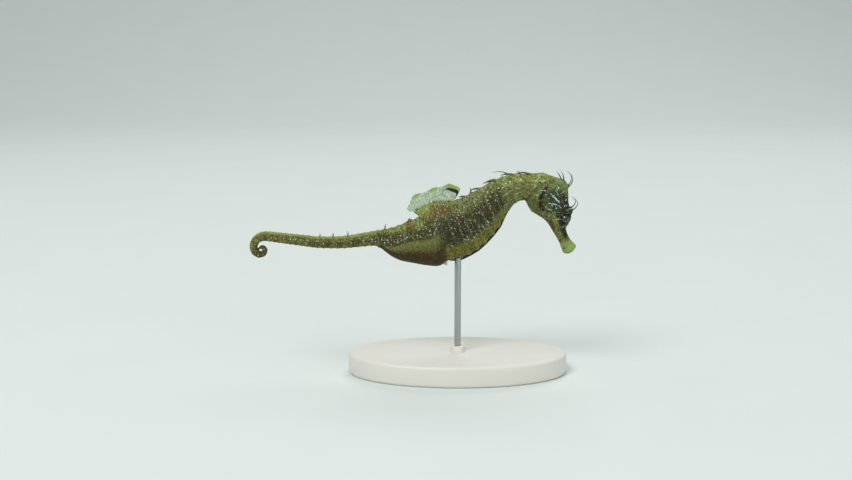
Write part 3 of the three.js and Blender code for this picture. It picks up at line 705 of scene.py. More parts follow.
    def set_gill_covers(self):
        """A ribbed dome on each side, with a slit behind it and painted shade along the slit."""
        x, z = self.base[..., 0], self.base[..., 2]
        dome = np.hypot((x - GILL_AT[0]) / GILL_RADII[0], (z - GILL_AT[1]) / GILL_RADII[1])
        fan = np.arctan2(z - GILL_FAN_FROM[1], GILL_FAN_FROM[0] - x)
        ribs = 0.5 + 0.5 * np.cos(fan * GILL_RIBS)
        lift = (GILL_LIFT + GILL_RIB_LIFT * ribs * smooth(dome, 0.1, 0.4)) * (1 - smooth(dome, 0.7, 1.0))
        behind = smooth(GILL_AT[0] - x, 0.0, 2.2) * smooth(z, 62.0, 64.0)
        slit = GILL_SLIT * hill(dome, 1.08, 0.09) * behind
        self.lift((lift - slit) * self.on_side)
        # painted shade: a dark band in the slit behind the gill cover
        self.gill = hill(dome, 1.13, 0.17) ** 0.6 * behind * self.on_side
        self.gill_cover = (1 - smooth(dome, 0.85, 1.05)) * self.on_side

    def set_head(self):
        """Bony ridges, the coronet with its blunt knobs, and spines."""
        for line, height, width in HEAD_RIDGES:
            far = distance_to_line(self.base[..., 0], self.base[..., 2], line)
            self.lift(height * hill(far, 0, width) * self.on_side)
        x, z = CORONET_AT
        ahead_x, up_x = math.cos(CORONET_LEAN), math.sin(CORONET_LEAN)
        ahead_z, up_z = -up_x, ahead_x
        self.push((x, 0.0, z), CORONET_REACH, (CORONET_LIFT * up_x, 0.0, CORONET_LIFT * up_z), False)
        for i in range(CORONET_KNOBS):
            turn = 2 * math.pi * (i + 0.5) / CORONET_KNOBS
            ahead, y = CORONET_RADIUS * math.cos(turn), CORONET_RADIUS * math.sin(turn)
            at = (x + ahead * ahead_x, y, z + ahead * ahead_z)
            vector = (KNOB_LIFT * up_x + 0.25 * ahead * ahead_x, 0.22 * y, KNOB_LIFT * up_z)
            self.push(at, KNOB_REACH, vector, False)
        for at, reach, vector in SPINES:
            self.push(at, reach, vector)

    def set_snout(self):
        """Fine creases along the snout, and the line of the jaw."""
        d = self.distance
        crease = np.sin(d * CREASES_PER_RADIAN) * (1 - smooth(d, 6.0, 9.0))
        self.lift(CREASE_DEPTH * crease)
        self.jaw = hill(d, JAW_AT, JAW_WIDTH) * smooth(self.angle, 95, 125)
        self.lift(-JAW_DEPTH * self.jaw)

    def set_caps(self):
        """Draws the rows at both ends in to a point: the mouth and the tail's tip."""
        centre = self.points.mean(axis=1, keepdims=True)
        self.points = centre + (self.points - centre) * self.cap[..., None]
        last = len(self.distance) - 1
        forwards = centre[CAP_ROWS] - centre[CAP_ROWS + 6]
        rearwards = centre[last - CAP_ROWS] - centre[last - CAP_ROWS - 4]
        cap = self.cap[:CAP_ROWS, 0]
        rounded = np.sqrt(1 - cap ** 2)
        mouth = LIPS_LENGTH * rounded - MOUTH_DEPTH * (1 - smooth(cap, 0.15, 0.6))
        for i in range(CAP_ROWS):
            self.points[i] += forwards / np.linalg.norm(forwards) * mouth[i]
            self.points[last - i] += rearwards / np.linalg.norm(rearwards) * TAIL_TIP_LENGTH * rounded[i]
        # the knobs of the coil reach no further back than the solids
        self.points[..., 0] = np.maximum(self.points[..., 0], CAD_BOX[0][0] / MM)

    def set_fields(self):
        """Values that the material reads: coordinates on the skin, and soft zones."""
        steps = np.linalg.norm(np.diff(self.points, axis=1), axis=-1)
        run = np.pad(np.cumsum(steps, axis=1), ((0, 0), (1, 0)))
        half_round = run[:, -1:] / 2
        self.girth = run - run[:, SKIN_COLUMNS // 2, None]
        self.share = np.abs(self.girth) / np.maximum(half_round, 0.01)  # from the back (0) to the belly (1)
        self.from_keel = half_round - np.abs(self.girth)
        d = self.distance
        self.head_zone = 1 - smooth(d, PLACE["occiput"], PLACE["nape"])
        self.neck = stretch(d, PLACE["occiput"], PLACE["neck_front"], PLACE["shoulder"], PLACE["chest"])
        self.trunk = stretch(
            d, PLACE["shoulder"] - 1, PLACE["chest"] + 1, PLACE["loin"] + 1, PLACE["vent"] + 1.5)
        self.thin_tail = smooth(d, PLACE["pouch_end"], PLACE["tail_root"])
        self.belly = smooth(self.share, 0.62, 0.71) * self.trunk
        self.fields = {**self.coordinates(), **self.head_zones(), **self.trunk_zones(), **self.tail_zones()}
        self.fields["dots"] = self.dots()

    def coordinates(self):
        """Ring number, distances for the dots, and turns round the neck."""
        ring = self.ring
        trunk_end = self.body.trunk_rings - 1.0
        turn_from_gills = 14 * smooth(-self.distance, -PLACE["neck_mid"], -PLACE["nape"])
        return {
            "ring": ring,
            "track": 3.0 * np.minimum(ring, trunk_end) + 2.2 * np.maximum(ring - trunk_end, 0.0),
            "turn": (self.angle - turn_from_gills) / 15,
            "girth": self.girth,
            "on_ring": self.on_ring * self.off_pouch * (1 - self.head),
            "knob": self.knob,
        }

    def head_zones(self):
        """The dark face, crown, throat, gills, snout tip, and painted shade in the mouth opening and along
        the jaw line.
        """
        d, share, head = self.distance, self.share, self.head_zone
        x, z = self.points[..., 0], self.points[..., 2]
        face_edge = 0.42 + 0.2 * hill(self.eye_far, 0, 4.5)
        front = 1 - smooth(share - face_edge, -0.08, 0.1)
        front = front * stretch(d, 4.0, 7.4, PLACE["forehead"], PLACE["crown_top"])
        temple = hill(d, PLACE["crown"], 4.5) * stretch(share, 0.14, 0.26, 0.46, 0.6)
        self.face = np.clip(front + 0.75 * temple, 0, 1) * head
        # painted shade inside the pushed-in mouth opening and along the groove of the jaw
        inside_lips = (1 - smooth(self.cap, 0.4, 0.8)) * (d < 1)
        return {
            "head": head,
            "face": self.face,
            "crown": head * smooth(z - 0.45 * x, 51.0, 55.0) * (1 - 0.75 * temple),
            "throat": smooth(share, 0.66, 0.8) * stretch(d, 7, 12, PLACE["neck_front"], PLACE["neck_mid"]),
            "gill": self.gill,
            "gill_cover": self.gill_cover,
            "snout_tip": (1 - smooth(d, 2.6, 6.4)) * (1 - 0.4 * self.face),
            "mouth": np.clip(inside_lips + 0.7 * self.jaw, 0, 1),
        }

    def trunk_zones(self):
        """Bands along back and belly, dark flank, painted shade along the keel, saddles, hump and pouch."""
        d, share, trunk, belly = self.distance, self.share, self.trunk, self.belly
        x = self.points[..., 0]
        line = pouch_line(d)
        coil = smooth(d, PLACE["tail_run"] + 22, PLACE["tail_run"] + 31)
        edge = mix(mix(0.2, 0.15, trunk), 0.27, self.thin_tail) + 0.13 * self.neck
        band = (1 - smooth(share - edge, -0.06, 0.08)) * (1 - self.head_zone)
        band = band * mix(1.0, 0.45, trunk) * (1 - 0.8 * coil)
        keel_width = mix(1.2, 2.7, smooth(d, PLACE["chest"], PLACE["trunk_mid"]))
        saddle_run = stretch(d, PLACE["nape"], PLACE["neck_front"], PLACE["loin"], PLACE["vent"])
        hump_patch = hill(x, -7, 6) * hill(share, 0.17, 0.1)
        heel_patch = hill(x, -18.6, 1.6) * (1 - smooth(share, 0.2, 0.3))
        lower_flank = 0.5 * trunk * smooth(share, 0.3, 0.45) * (1 - belly)
        on_pouch = smooth(d, PLACE["vent"] - 1, PLACE["vent"] + 1) * (1 - self.thin_tail)
        below_line = np.clip((self.angle - line) / (180 - line), 0, 1)
        rear_run = stretch(d, *(PLACE[name] for name in ("trunk_mid", "loin", "pouch_end", "tail_root")))
        return {
            "band": band,
            "belly": belly,
            # painted shade: a nearly black band along the underside of the trunk
            "keel": (1 - smooth(self.from_keel - keel_width, -0.15, 0.12)) * trunk,
            "flank": stretch(share, 0.13, 0.46, 0.6, 0.79) * trunk,
            "calm": np.maximum(0.65 * band * self.thin_tail, lower_flank),
            "neck_lines": self.neck * stretch(share, 0.36, 0.44, 0.66, 0.84),
            "saddle": hill(share, 0, 0.07) * self.on_ring * saddle_run,
            "hump": self.rise ** 0.6 * (0.6 + 0.4 * np.sin(d * 2 * np.pi / 0.9)),
            "patch": hump_patch + heel_patch,
            "rear": 0.9 * rear_run * smooth(share, 0.12, 0.34),
            "pouch": on_pouch * (1 - self.off_pouch),
            "pouch_low": on_pouch * smooth(below_line, -0.06, 0.44),
            "coil": 0.85 * coil,
        }

    def tail_zones(self):
        """The dark middle row of the tail, its brown lower side and dark tip."""
        d, share, thin_tail = self.distance, self.share, self.thin_tail
        x = self.points[..., 0]
        blotches = (1 - 0.75 * smooth(-x, 55, 61)) * (0.72 + 0.28 * np.sin(d * 0.8))
        middle_row = hill(share, 0.52, 0.13) * smooth(d, PLACE["pouch_heel"], PLACE["tail_root"])
        lower_side = 0.5 * smooth(share, 0.36, 0.5) + 0.5 * smooth(share, 0.74, 0.9)
        return {
            "under_tail": thin_tail * lower_side,
            "side_tail": middle_row * blotches,
            "tail_edge": thin_tail * smooth(share, 0.84, 0.95) * smooth(-x, 48, 60),
            "tip": smooth(d, PLACE["tail_run"] + 24, PLACE["tail_run"] + 31),
        }

    def dots(self):
        """How many of the pale dots show: all where it is 1 and none where it is 0."""
        share, trunk, neck, thin_tail = self.share, self.trunk, self.neck, self.thin_tail
        above_pouch = hill(self.angle - pouch_line(self.distance), -9, 11) * self.pouch
        dots = mix(0.72, 0.9, trunk) + 0.5 * above_pouch - 0.42 * thin_tail
        dots = dots + 0.62 * hill(share, 0.5, 0.18) * thin_tail
        dots = dots + 0.3 * self.face + 0.4 * neck * hill(share, 0.28, 0.07)
        dots = dots * (1 - 0.8 * neck * smooth(share, 0.36, 0.46)) * (1 - 0.5 * self.belly)
        dots = dots * (1 - 0.28 * trunk * hill(share, 0.52, 0.1)) + 0.35 * trunk * hill(share, 0.66, 0.04)
        dots = dots * (1 - self.pouch * (1 - self.off_pouch)) * mix(0.25, 1.0, smooth(self.distance, 7, 12))
        return np.clip(dots, 0, 1)


# Zones of the skin from under to over, as field, colour and strength. The gill, mouth and keel zones lay
# painted shade in the gill slits, in the mouth and along the jaw line, and along the underside of the
# trunk.
ZONES = (
    ("rear", "flank", 0.74), ("flank", "flank", 0.92), ("under_tail", "under_tail", 0.8),
    ("coil", "under_tail", 0.7), ("side_tail", "flank", 0.72), ("tail_edge", "pouch_low", 0.8),
    ("tip", "flank", 0.5), ("belly", "belly", 0.85), ("band", "band", 0.8), ("hump", "band", 0.9),
    ("patch", "rust", 0.8), ("throat", "throat", 0.7), ("crown", "crown", 0.75), ("face", "face", 0.95),
    ("gill_cover", "gill_cover", 0.8), ("pouch", "pouch", 0.95), ("pouch_low", "pouch_low", 0.95),
    ("gill", "keel", 1.0), ("saddle", "keel", 0.85), ("snout_tip", "snout_tip", 0.9),
    ("mouth", "keel", 0.85), ("keel", "keel", 1.0),
)
# Zones where the specks are faint.
SMOOTH_ZONES = ("pouch", "face", "gill_cover", "snout_tip", "keel", "gill", "calm")
# Other values that the material reads.
SKIN_VALUES = ("ring", "track", "turn", "girth", "on_ring", "knob", "neck_lines", "head", "dots")

# Pale dots: their spacing as a share of the main one, largest radius in cells,
# and strength.
DOT_SIZES = ((1.0, 0.225, 0.9), (0.6, 0.18, 0.45))

# Pale strokes on the side of the head, as start, end in x and z, and width.
HEAD_STROKES = (
    ((37.6, 67.0), (34.4, 70.0), 0.26),
    ((36.6, 65.9), (33.6, 66.6), 0.26),
    ((34.7, 63.9), (32.6, 64.4), 0.18),
    ((32.2, 71.2), (29.8, 71.1), 0.2),
    ((37.4, 69.6), (36.2, 71.4), 0.15),
    ((38.6, 64.6), (37.2, 65.6), 0.15),
)


def zone_colours(add, colours, field, speck):
    """The ground colour with each zone over it, its edge ragged by the specks."""
    layers = []
    for name, over, strength in ZONES:
        shifted = add("Math", (speck, 0.9, field[name]), "MULTIPLY_ADD")
        factor = add("MapRange", {"Value": shifted, "From Min": 0.65, "From Max": 1.2, "To Max": strength})
        layers.append((getattr(colours, over), factor))
    return lay_colours(add, colours.olive, layers)


def distance_from_rib(add, field, cloud):
    """How far a place is from the nearest bony ring, as a share of their spacing."""
    phase = add("Math", (field["ring"], 0.5), "ADD")
    phase = add("Math", (phase,), "FRACT")
    phase = add("Math", (cloud, 0.3, phase), "MULTIPLY_ADD")
    phase = add("Math", (phase, 0.65), "SUBTRACT")
    return add("Math", (phase,), "ABSOLUTE")


def speck_layers(add, colours, field, cloud, speck):
    """Brown, rusty and ochre clouds and specks, faint on the smooth zones."""
    smoothest = field[SMOOTH_ZONES[0]]
    for name in SMOOTH_ZONES[1:]:
        smoothest = add("Math", (smoothest, field[name]), "MAXIMUM")
    bare = add("MapRange", {"Value": smoothest, "To Min": 1.0, "To Max": 0.3})
    layers = []
    for value, low, high, strength, over in (
            (cloud, 0.5, 0.6, 0.55, colours.brown), (cloud, 0.46, 0.38, 0.35, colours.rust),
            (speck, 0.48, 0.6, 0.78, colours.brown), (speck, 0.46, 0.35, 0.55, colours.ochre)):
        much = add("MapRange", {"Value": value, "From Min": low, "From Max": high, "To Max": strength})
        layers.append((over, add("Math", (much, bare), "MULTIPLY")))
    return layers


def dot_marks(add, field, spacing):
    """Dots in rows along the rings, large and small."""
    marks = []
    for share, largest, strength in DOT_SIZES:
        along = add("Math", (field["track"], 1 / share), "MULTIPLY")
        across = add("Math", (field["girth"], 1 / (spacing * share)), "MULTIPLY")
        on_skin = add("CombineXYZ", {"X": along, "Y": across})
        cells = add(
            "TexVoronoi", {"Vector": on_skin, "Scale": 1.0, "Randomness": 0.62}, voronoi_dimensions="2D")
        luck = add("SeparateColor", {"Color": cells.outputs["Color"]})
        allowed = add("Math", (luck.outputs["Red"], field["dots"]), "MULTIPLY")
        reach = add(
            "MapRange",
            {"Value": allowed, "From Min": 0.22, "From Max": 0.85, "To Min": -0.05, "To Max": largest})
        inside = add("Math", (reach, cells.outputs["Distance"]), "SUBTRACT")
        edge = {"Value": inside, "From Min": -0.04, "From Max": 0.05, "To Max": strength}
        marks.append(add("MapRange", edge))
    return marks


def rib_lines(add, field, cloud, speck, from_rib):
    """Pale lines down the ribs of the flank, broken up by specks and clouds."""
    line = add("MapRange", {"Value": from_rib, "From Min": 0.06, "From Max": 0.02, "To Max": 0.3})
    short_gaps = add("MapRange", {"Value": speck, "From Min": 0.47, "From Max": 0.56})
    long_gaps = add("MapRange", {"Value": cloud, "From Min": 0.44, "From Max": 0.52})
    for share in (short_gaps, long_gaps, field["flank"]):
        line = add("Math", (line, share), "MULTIPLY")
    return line


def neck_lines(add, field, cloud):
    """Long pale lines along the neck, nearly 2 mm apart, that sink towards the gills."""
    drift = add("Math", (cloud, 0.45, field["turn"]), "MULTIPLY_ADD")
    wave = add("Math", (drift, 2 * math.pi), "MULTIPLY")
    wave = add("Math", (wave,), "SINE")
    line = add("MapRange", {"Value": wave, "From Min": 0.8, "From Max": 1.0, "To Max": 0.42})
    gaps = add("MapRange", {"Value": cloud, "From Min": 0.36, "From Max": 0.5, "To Min": 0.15})
    for share in (field["neck_lines"], gaps):
        line = add("Math", (line, share), "MULTIPLY")
    return line


def head_strokes(add, field, place, specks):
    """Strokes on the side of the head, from the eye up and back, that thin out."""
    wander = add("VectorMath", {0: specks.outputs["Color"], "Scale": 0.9}, "SCALE")
    wander = add("VectorMath", (wander, (0.45, 0.0, 0.45)), "SUBTRACT")
    wander = add("VectorMath", (wander, (1.0, 0.0, 1.0)), "MULTIPLY")
    flat = add("VectorMath", (place, (1 / MM, 0.0, 1 / MM)), "MULTIPLY")
    flat = add("VectorMath", (flat, wander), "ADD")
    marks = []
    for (start_x, start_z), (end_x, end_z), width in HEAD_STROKES:
        way = (end_x - start_x, 0.0, end_z - start_z)
        leg = add("VectorMath", (flat, (start_x, 0.0, start_z)), "SUBTRACT")
        along = add("VectorMath", (leg, way), "DOT_PRODUCT")
        share = 1 / (way[0] ** 2 + way[2] ** 2)
        along = add("Math", (along.outputs["Value"], share), "MULTIPLY", use_clamp=True)
        foot = add("VectorMath", {0: way, "Scale": along}, "SCALE")
        off = add("VectorMath", (leg, foot), "SUBTRACT")
        off = add("VectorMath", (off,), "LENGTH")
        taper = add("Math", (along, -0.5 * width, width), "MULTIPLY_ADD")
        inside = add("Math", (taper, off.outputs["Value"]), "SUBTRACT")
        mark = add("MapRange", {"Value": inside, "From Min": -0.05, "From Max": 0.1, "To Max": 0.95})
        marks.append(add("Math", (mark, field["head"]), "MULTIPLY"))
    return marks


def skin_material(colours, body):
    """Wet scaleless skin of a seahorse over bony plates: satin, finely grained,
    olive with brown specks and rows of pale dots, under a thin clear slime."""
    material, add, place = new_material("seahorse_skin")
    field = read_fields(add, sorted({*SKIN_VALUES, *SMOOTH_ZONES, *(zone[0] for zone in ZONES)}))
    # clouds of about 2 mm, specks of about 0.6 mm, and a grain of about 0.25 mm
    clouds, specks, grain = (
        add("TexNoise", {"Vector": place, "Scale": 1 / (size * MM), "Detail": detail})
        for size, detail in ((2.4, 3.0), (0.75, 4.0), (0.28, 3.0)))
    cloud, speck = clouds.outputs["Fac"], specks.outputs["Fac"]

    # the ribs of the flank are lighter than the plates between them: partly their own tone, partly painted
    # light on the ribs against painted shade in the hollows
    from_rib = distance_from_rib(add, field, cloud)
    rib = add("MapRange", {"Value": from_rib, "From Min": 0.3, "From Max": 0.1, "To Max": 0.2})
    rib = add("Math", (rib, field["flank"]), "MULTIPLY")
    layers = [(colours.rib, rib), *speck_layers(add, colours, field, cloud, speck)]
    tone = lay_colours(add, zone_colours(add, colours, field, speck), layers)

    # pale marks: the tips of the knobs, dots, lines and strokes
    marks = [
        *dot_marks(add, field, body.dot_spacing / MM), rib_lines(add, field, cloud, speck, from_rib),
        neck_lines(add, field, cloud), *head_strokes(add, field, place, specks),
    ]
    pale = add("MapRange", {"Value": field["knob"], "From Min": 0.8, "From Max": 0.98, "To Max": 0.5})
    for mark in marks:
        pale = add("Math", (pale, mark), "MAXIMUM")
    tone = lay_colours(add, tone, [(colours.dot, pale)])

    # painted highlight on the ring crests and painted shade between the rings, and the grain of the skin
    # over all
    shade = add("MapRange", {"Value": field["on_ring"], "To Min": 0.93, "To Max": 1.08})
    grain_range = {"Value": grain, "From Min": 0.3, "From Max": 0.7}
    grainy = add("MapRange", {**grain_range, "To Min": 0.8, "To Max": 1.15})
    value = add("Math", (shade, grainy), "MULTIPLY")
    value = add("CombineColor", {"Red": value, "Green": value, "Blue": value})
    shaded = add("Mix", {0: 1.0, 6: tone, 7: value}, data_type="RGBA", blend_type="MULTIPLY")
    rough = add("MapRange", {**grain_range, "To Min": 0.45, "To Max": 0.65})
    relief = add("Math", (pale, 0.5, grain), "MULTIPLY_ADD")
    bump = add("Bump", {"Strength": 0.55, "Distance": 0.1 * MM, "Height": relief})
    add_surface(add, {
        "Base Color": shaded.outputs[2], "Roughness": rough, "Normal": bump, "IOR": 1.38,
        "Specular IOR Level": 0.22, "Coat Weight": 0.06, "Coat Roughness": 0.3,
    })
    return material


BODY_NODES = (
    "snout", "head", "coronet", "neck", "trunk", "tail_base", "brood_pouch", "tail_middle", "tail_coil")


class SEAHORSE_OT_skin(bpy.types.Operator):
    """Draws the one skin over head, neck, trunk, pouch and tail"""

    bl_idname = "seahorse.skin"
    bl_label = "Skin"

    def execute(self, context):
        scene = context.scene
        skin = Skin(scene.seahorse_body)
        piece = wrapped_grid(skin.points, skin.fields, charts=2)
        material = skin_material(scene.seahorse_colours, scene.seahorse_body)
        finish_piece(piece, "skin", material, "skin", *BODY_NODES)
        return {"FINISHED"}


# ------------------------------------------------------------------ eyes

IRIS_RIM = (1.15, 1.6)  # the streaks fade into the dark rim between these radii
INNER_RING = (0.72, 0.6)
PUPIL_EDGE = (0.62, 0.56)
EYE_TURN = (0.16, 0.05)  # how much the eye looks forwards and up
CORNEA_EDGE = 0.86  # cosine of the angle at which the cornea begins to bulge
CORNEA_BULGE = 0.14


def eye_material(settings):
    """Wet cornea over an iris: clear and very glossy, dark green with pale streaks."""
    material, add, place = new_material("wet_eye")
    centred = add("Mapping", {"Vector": place, "Location": (-EYE_AT[0] * MM, 0.0, -EYE_AT[2] * MM)})
    scaled = add("VectorMath", {0: centred, "Scale": 1 / MM}, "SCALE")
    axes = add("SeparateXYZ", (scaled,))
    x, z = axes.outputs["X"], axes.outputs["Z"]
    flat = add("CombineXYZ", {"X": x, "Z": z})
    radius = add("VectorMath", (flat,), "LENGTH").outputs["Value"]
    # streaks run out from the pupil: noise that is fine round the eye and long outwards
    turn = add("Math", (z, x), "ARCTAN2")
    cosine = add("Math", (turn,), "COSINE")
    sine = add("Math", (turn,), "SINE")
    ring = add("CombineXYZ", {"X": cosine, "Y": sine})
    wide = add("VectorMath", {0: ring, "Scale": 5.5}, "SCALE")
    outwards = add("CombineXYZ", {"Z": radius})
    streak_at = add("VectorMath", (wide, outwards), "ADD")
    streaks = add("TexNoise", {"Vector": streak_at, "Scale": 1.0, "Detail": 3.0})
    layers = []
    for over, value, (low, high) in (
            (settings.streak, streaks, (0.5, 0.66)), (settings.iris, radius, IRIS_RIM),
            (settings.streak, radius, INNER_RING), (settings.pupil, radius, PUPIL_EDGE)):
        layers.append((over, add("MapRange", {"Value": value, "From Min": low, "From Max": high})))
    add_surface(add, {
        "Base Color": lay_colours(add, settings.iris, layers), "Roughness": 0.18, "IOR": 1.38,
        "Coat Weight": 0.6, "Coat Roughness": 0.08,
    })
    return material


class SEAHORSE_OT_eyes(bpy.types.Operator):
    """Makes both eyes, with a low cornea over the pupil"""

    bl_idname = "seahorse.eyes"
    bl_label = "Eyes"

    def execute(self, context):
        settings = context.scene.seahorse_eye
        material = eye_material(settings)
        for node, side in (("eye_right", -1), ("eye_left", 1)):
            low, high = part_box(node)
            centre = (low + high) / 2
            bpy.ops.object.select_all(action="DESELECT")
            bpy.ops.mesh.primitive_uv_sphere_add(
                segments=64, ring_count=40, radius=settings.radius, location=centre)
            eye = bpy.context.object
            apply_place(eye)
            axis = Vector((EYE_TURN[0], side, EYE_TURN[1])).normalized()
            for vertex in eye.data.vertices:
                ray = (vertex.co - centre).normalized()
                bulge = max(0.0, (ray.dot(axis) - CORNEA_EDGE) / (1 - CORNEA_EDGE))
                vertex.co += axis * bulge * CORNEA_BULGE * MM
            bpy.ops.object.shade_smooth()
            finish_piece(eye, "eyeball_" + node[4:], material, "eye", node)
        return {"FINISHED"}


# ------------------------------------------------------------------ fins

DORSAL_ROOT = ((-1.2, 66.0), (-17.0, 63.0))  # front and rear
DORSAL_EDGE = (
    (-1.4, 66.8), (0.8, 71.2), (-1.5, 72.7), (-3.6, 73.5), (-5.9, 73.1), (-9.5, 71.8),
    (-12.5, 70.8), (-15.8, 69.5), (-18.4, 67.2), (-19.6, 64.2), (-18.2, 62.6),
)
DORSAL_WAVE, DORSAL_WAVES = 0.7, 1.5
# Lobes of the edge, as shares of its length, and how deep the bays between
# them and between two rays are.
LOBE_SPACING, FIRST_LOBE = 0.24, 0.27
BAY_DEPTH, SCALLOP_DEPTH = 0.75, 0.14

PECTORAL_AT = (31.4, 3.9, 66.6)
PECTORAL_LENGTH = 5.6
PECTORAL_SPREAD, PECTORAL_FLARE, PECTORAL_TILT = 66, 20, 8
PECTORAL_RAYS = 16
ANAL_AT = (-4.1, 44.3)
ANAL_LENGTH = 2.4
ANAL_SPREAD, ANAL_TILT = 60, 118
ANAL_RAYS = 4


def curve_points(points, count):
    """Evenly spaced places along a smooth curve through the points."""
    p = np.array(points, float)
    ends = np.vstack([2 * p[0] - p[1], p, 2 * p[-1] - p[-2]])
    t = np.linspace(0, 1, 40, endpoint=False)[:, None]
    legs = [through(*ends[i:i + 4], t) for i in range(len(p) - 1)]
    fine = np.vstack([*legs, p[-1:]])
    run = np.concatenate([[0], np.cumsum(np.linalg.norm(np.diff(fine, axis=0), axis=1))])
    at = np.linspace(0, run[-1], count)
    return np.stack([np.interp(at, run, fine[:, k]) for k in range(p.shape[1])], axis=1)


def fin_sheet(feet, edge, sway, rays, fins, normal, steps=26):
    """A closed thin fin between its feet and its edge, thicker at each ray.

    feet and edge are places in millimetres along the fin; sway is a sideways
    shift for each place and each share of the way out; normal is the way across.
    """
    t = np.linspace(0, 1, len(feet))[:, None]
    out = np.concatenate([np.linspace(0, 1, steps), np.linspace(1, 0, steps), [0.0]])[None, :]
    face = np.concatenate([-np.ones(steps), np.ones(steps), [-1.0]])[None, :]
    on_ray = np.abs(np.cos(np.pi * rays * t)) ** 12
    thick = mix(fins.membrane_thickness / MM, fins.ray_thickness / MM, on_ray) / 2
    taper = (1 - 0.75 * out ** 2) * np.clip(np.minimum(t, 1 - t) * 40, 0.02, 1)
    middle = feet[:, None, :] + (edge - feet)[:, None, :] * out[..., None]
    shift = sway(t, out) + face * thick * taper * np.where(out < 1, 1.0, 0.4)
    points = middle + shift[..., None] * np.asarray(normal, float)
    return wrapped_grid(points, {"reach": out, "share": t, "on_ray": on_ray})


def margin_layers(add, fins, reach, cloud):
    """The bright margin that widens on each lobe, and inside it a dark stripe
    that is thin behind and swells to a spot at the front."""
    share = read_fields(add, ("share",))["share"]
    turns = 2 * math.pi / LOBE_SPACING
    lobes = add("Math", (share, turns, -FIRST_LOBE * turns), "MULTIPLY_ADD")
    lobes = add("Math", (lobes,), "COSINE")
    inner = add("Math", (cloud, 0.22, 0.79), "MULTIPLY_ADD")
    inner = add("Math", (lobes, -0.09, inner), "MULTIPLY_ADD")
    past = add("Math", (reach, inner), "SUBTRACT")
    lobe_range = {"Value": lobes, "From Min": -0.7, "From Max": 0.5}
    bright = add("MapRange", {**lobe_range, "To Min": 0.12, "To Max": 0.85})
    first = add("MapRange", {"Value": share, "From Min": 0.42, "From Max": 0.37, "To Max": 0.95})
    bright = add("Math", (bright, first), "MAXIMUM")
    margin = add("MapRange", {"Value": past, "From Min": -0.2, "From Max": 0.1})
    margin = add("Math", (margin, bright), "MULTIPLY")

    width = add(
        "MapRange",
        {"Value": share, "From Min": 0.32, "From Max": 0.06, "To Min": 0.05, "To Max": 0.13})
    off = add("Math", (reach, 0.76), "SUBTRACT")
    off = add("Math", (off,), "ABSOLUTE")
    within = add("Math", (width, off), "SUBTRACT")
    stripe = add("MapRange", {"Value": within, "From Min": -0.03, "From Max": 0.02})
    front = add("MapRange", {"Value": share, "From Min": 0.4, "From Max": 0.3})
    spot = add("Math", (stripe, front), "MULTIPLY")
    return [(fins.margin, margin), (fins.spot, spot)]


def fin_material(fins, name, membrane, ray, lobed):
    """Thin wet fin skin over bony rays: clear between the rays, milky at them."""
    material, add, place = new_material(name)
    reach, on_ray = read_fields(add, ("reach", "on_ray")).values()
    cloud = add("TexNoise", {"Vector": place, "Scale": 1 / (1.4 * MM), "Detail": 4.0})
    rayed = add("Math", (on_ray, 0.8), "MULTIPLY")
    fog = add("MapRange", {"Value": cloud, "From Min": 0.4, "From Max": 0.62, "To Max": 0.55})
    clear = add("MapRange", {"Value": on_ray, "To Min": 0.26, "To Max": 0.42})
    alpha = add("Math", (fog, 0.35, clear), "MULTIPLY_ADD")
    root = add("MapRange", {"Value": reach, "From Min": 0.5, "From Max": 0.0, "To Max": 0.85})
    edge = margin_layers(add, fins, reach, cloud) if lobed else []
    for mark in (root, *(factor for _, factor in edge)):
        alpha = add("Math", (alpha, mark), "MAXIMUM")
    bump = add("Bump", {"Strength": 0.4, "Distance": 0.05 * MM, "Height": on_ray})
    add_surface(add, {
        "Base Color": lay_colours(add, membrane, [(ray, rayed), (ray, fog), *edge]), "Alpha": alpha,
        "Normal": bump, "Roughness": 0.45, "IOR": 1.38, "Specular IOR Level": 0.3,
    })
    return material


class SEAHORSE_OT_dorsal_fin(bpy.types.Operator):
    """Makes the rayed sail on the back"""

    bl_idname = "seahorse.dorsal_fin"
    bl_label = "Dorsal fin"

    def execute(self, context):
        fins = context.scene.seahorse_fins
        count = fins.rays * 8 + 1
        share = np.linspace(0, 1, count)[:, None]
        front, rear = (np.array([x, 0.0, z]) for x, z in DORSAL_ROOT)
        feet = mix(front, rear, share)
        edge = curve_points([(x, 0.0, z) for x, z in DORSAL_EDGE], count)
        bays = 0.5 - 0.5 * np.cos(2 * np.pi * (share - FIRST_LOBE) / LOBE_SPACING)
        scallop = SCALLOP_DEPTH * np.abs(np.sin(np.pi * fins.rays * share))
        scallop = scallop + BAY_DEPTH * bays * smooth(share, 0.27, 0.36)
        inwards = (feet - edge) / np.linalg.norm(feet - edge, axis=1, keepdims=True)
        edge = edge + inwards * scallop * smooth(np.minimum(share, 1 - share), 0, 0.1)

        def sway(t, out):
            return DORSAL_WAVE * out * np.sin(2 * np.pi * DORSAL_WAVES * t + 1)

        piece = fin_sheet(feet, edge, sway, fins.rays, fins, (0, 1, 0))
        material = fin_material(fins, "dorsal_fin_skin", fins.membrane, fins.ray, True)
        finish_piece(piece, "dorsal_fin_sail", material, "fin", "dorsal_fin")
        return {"FINISHED"}


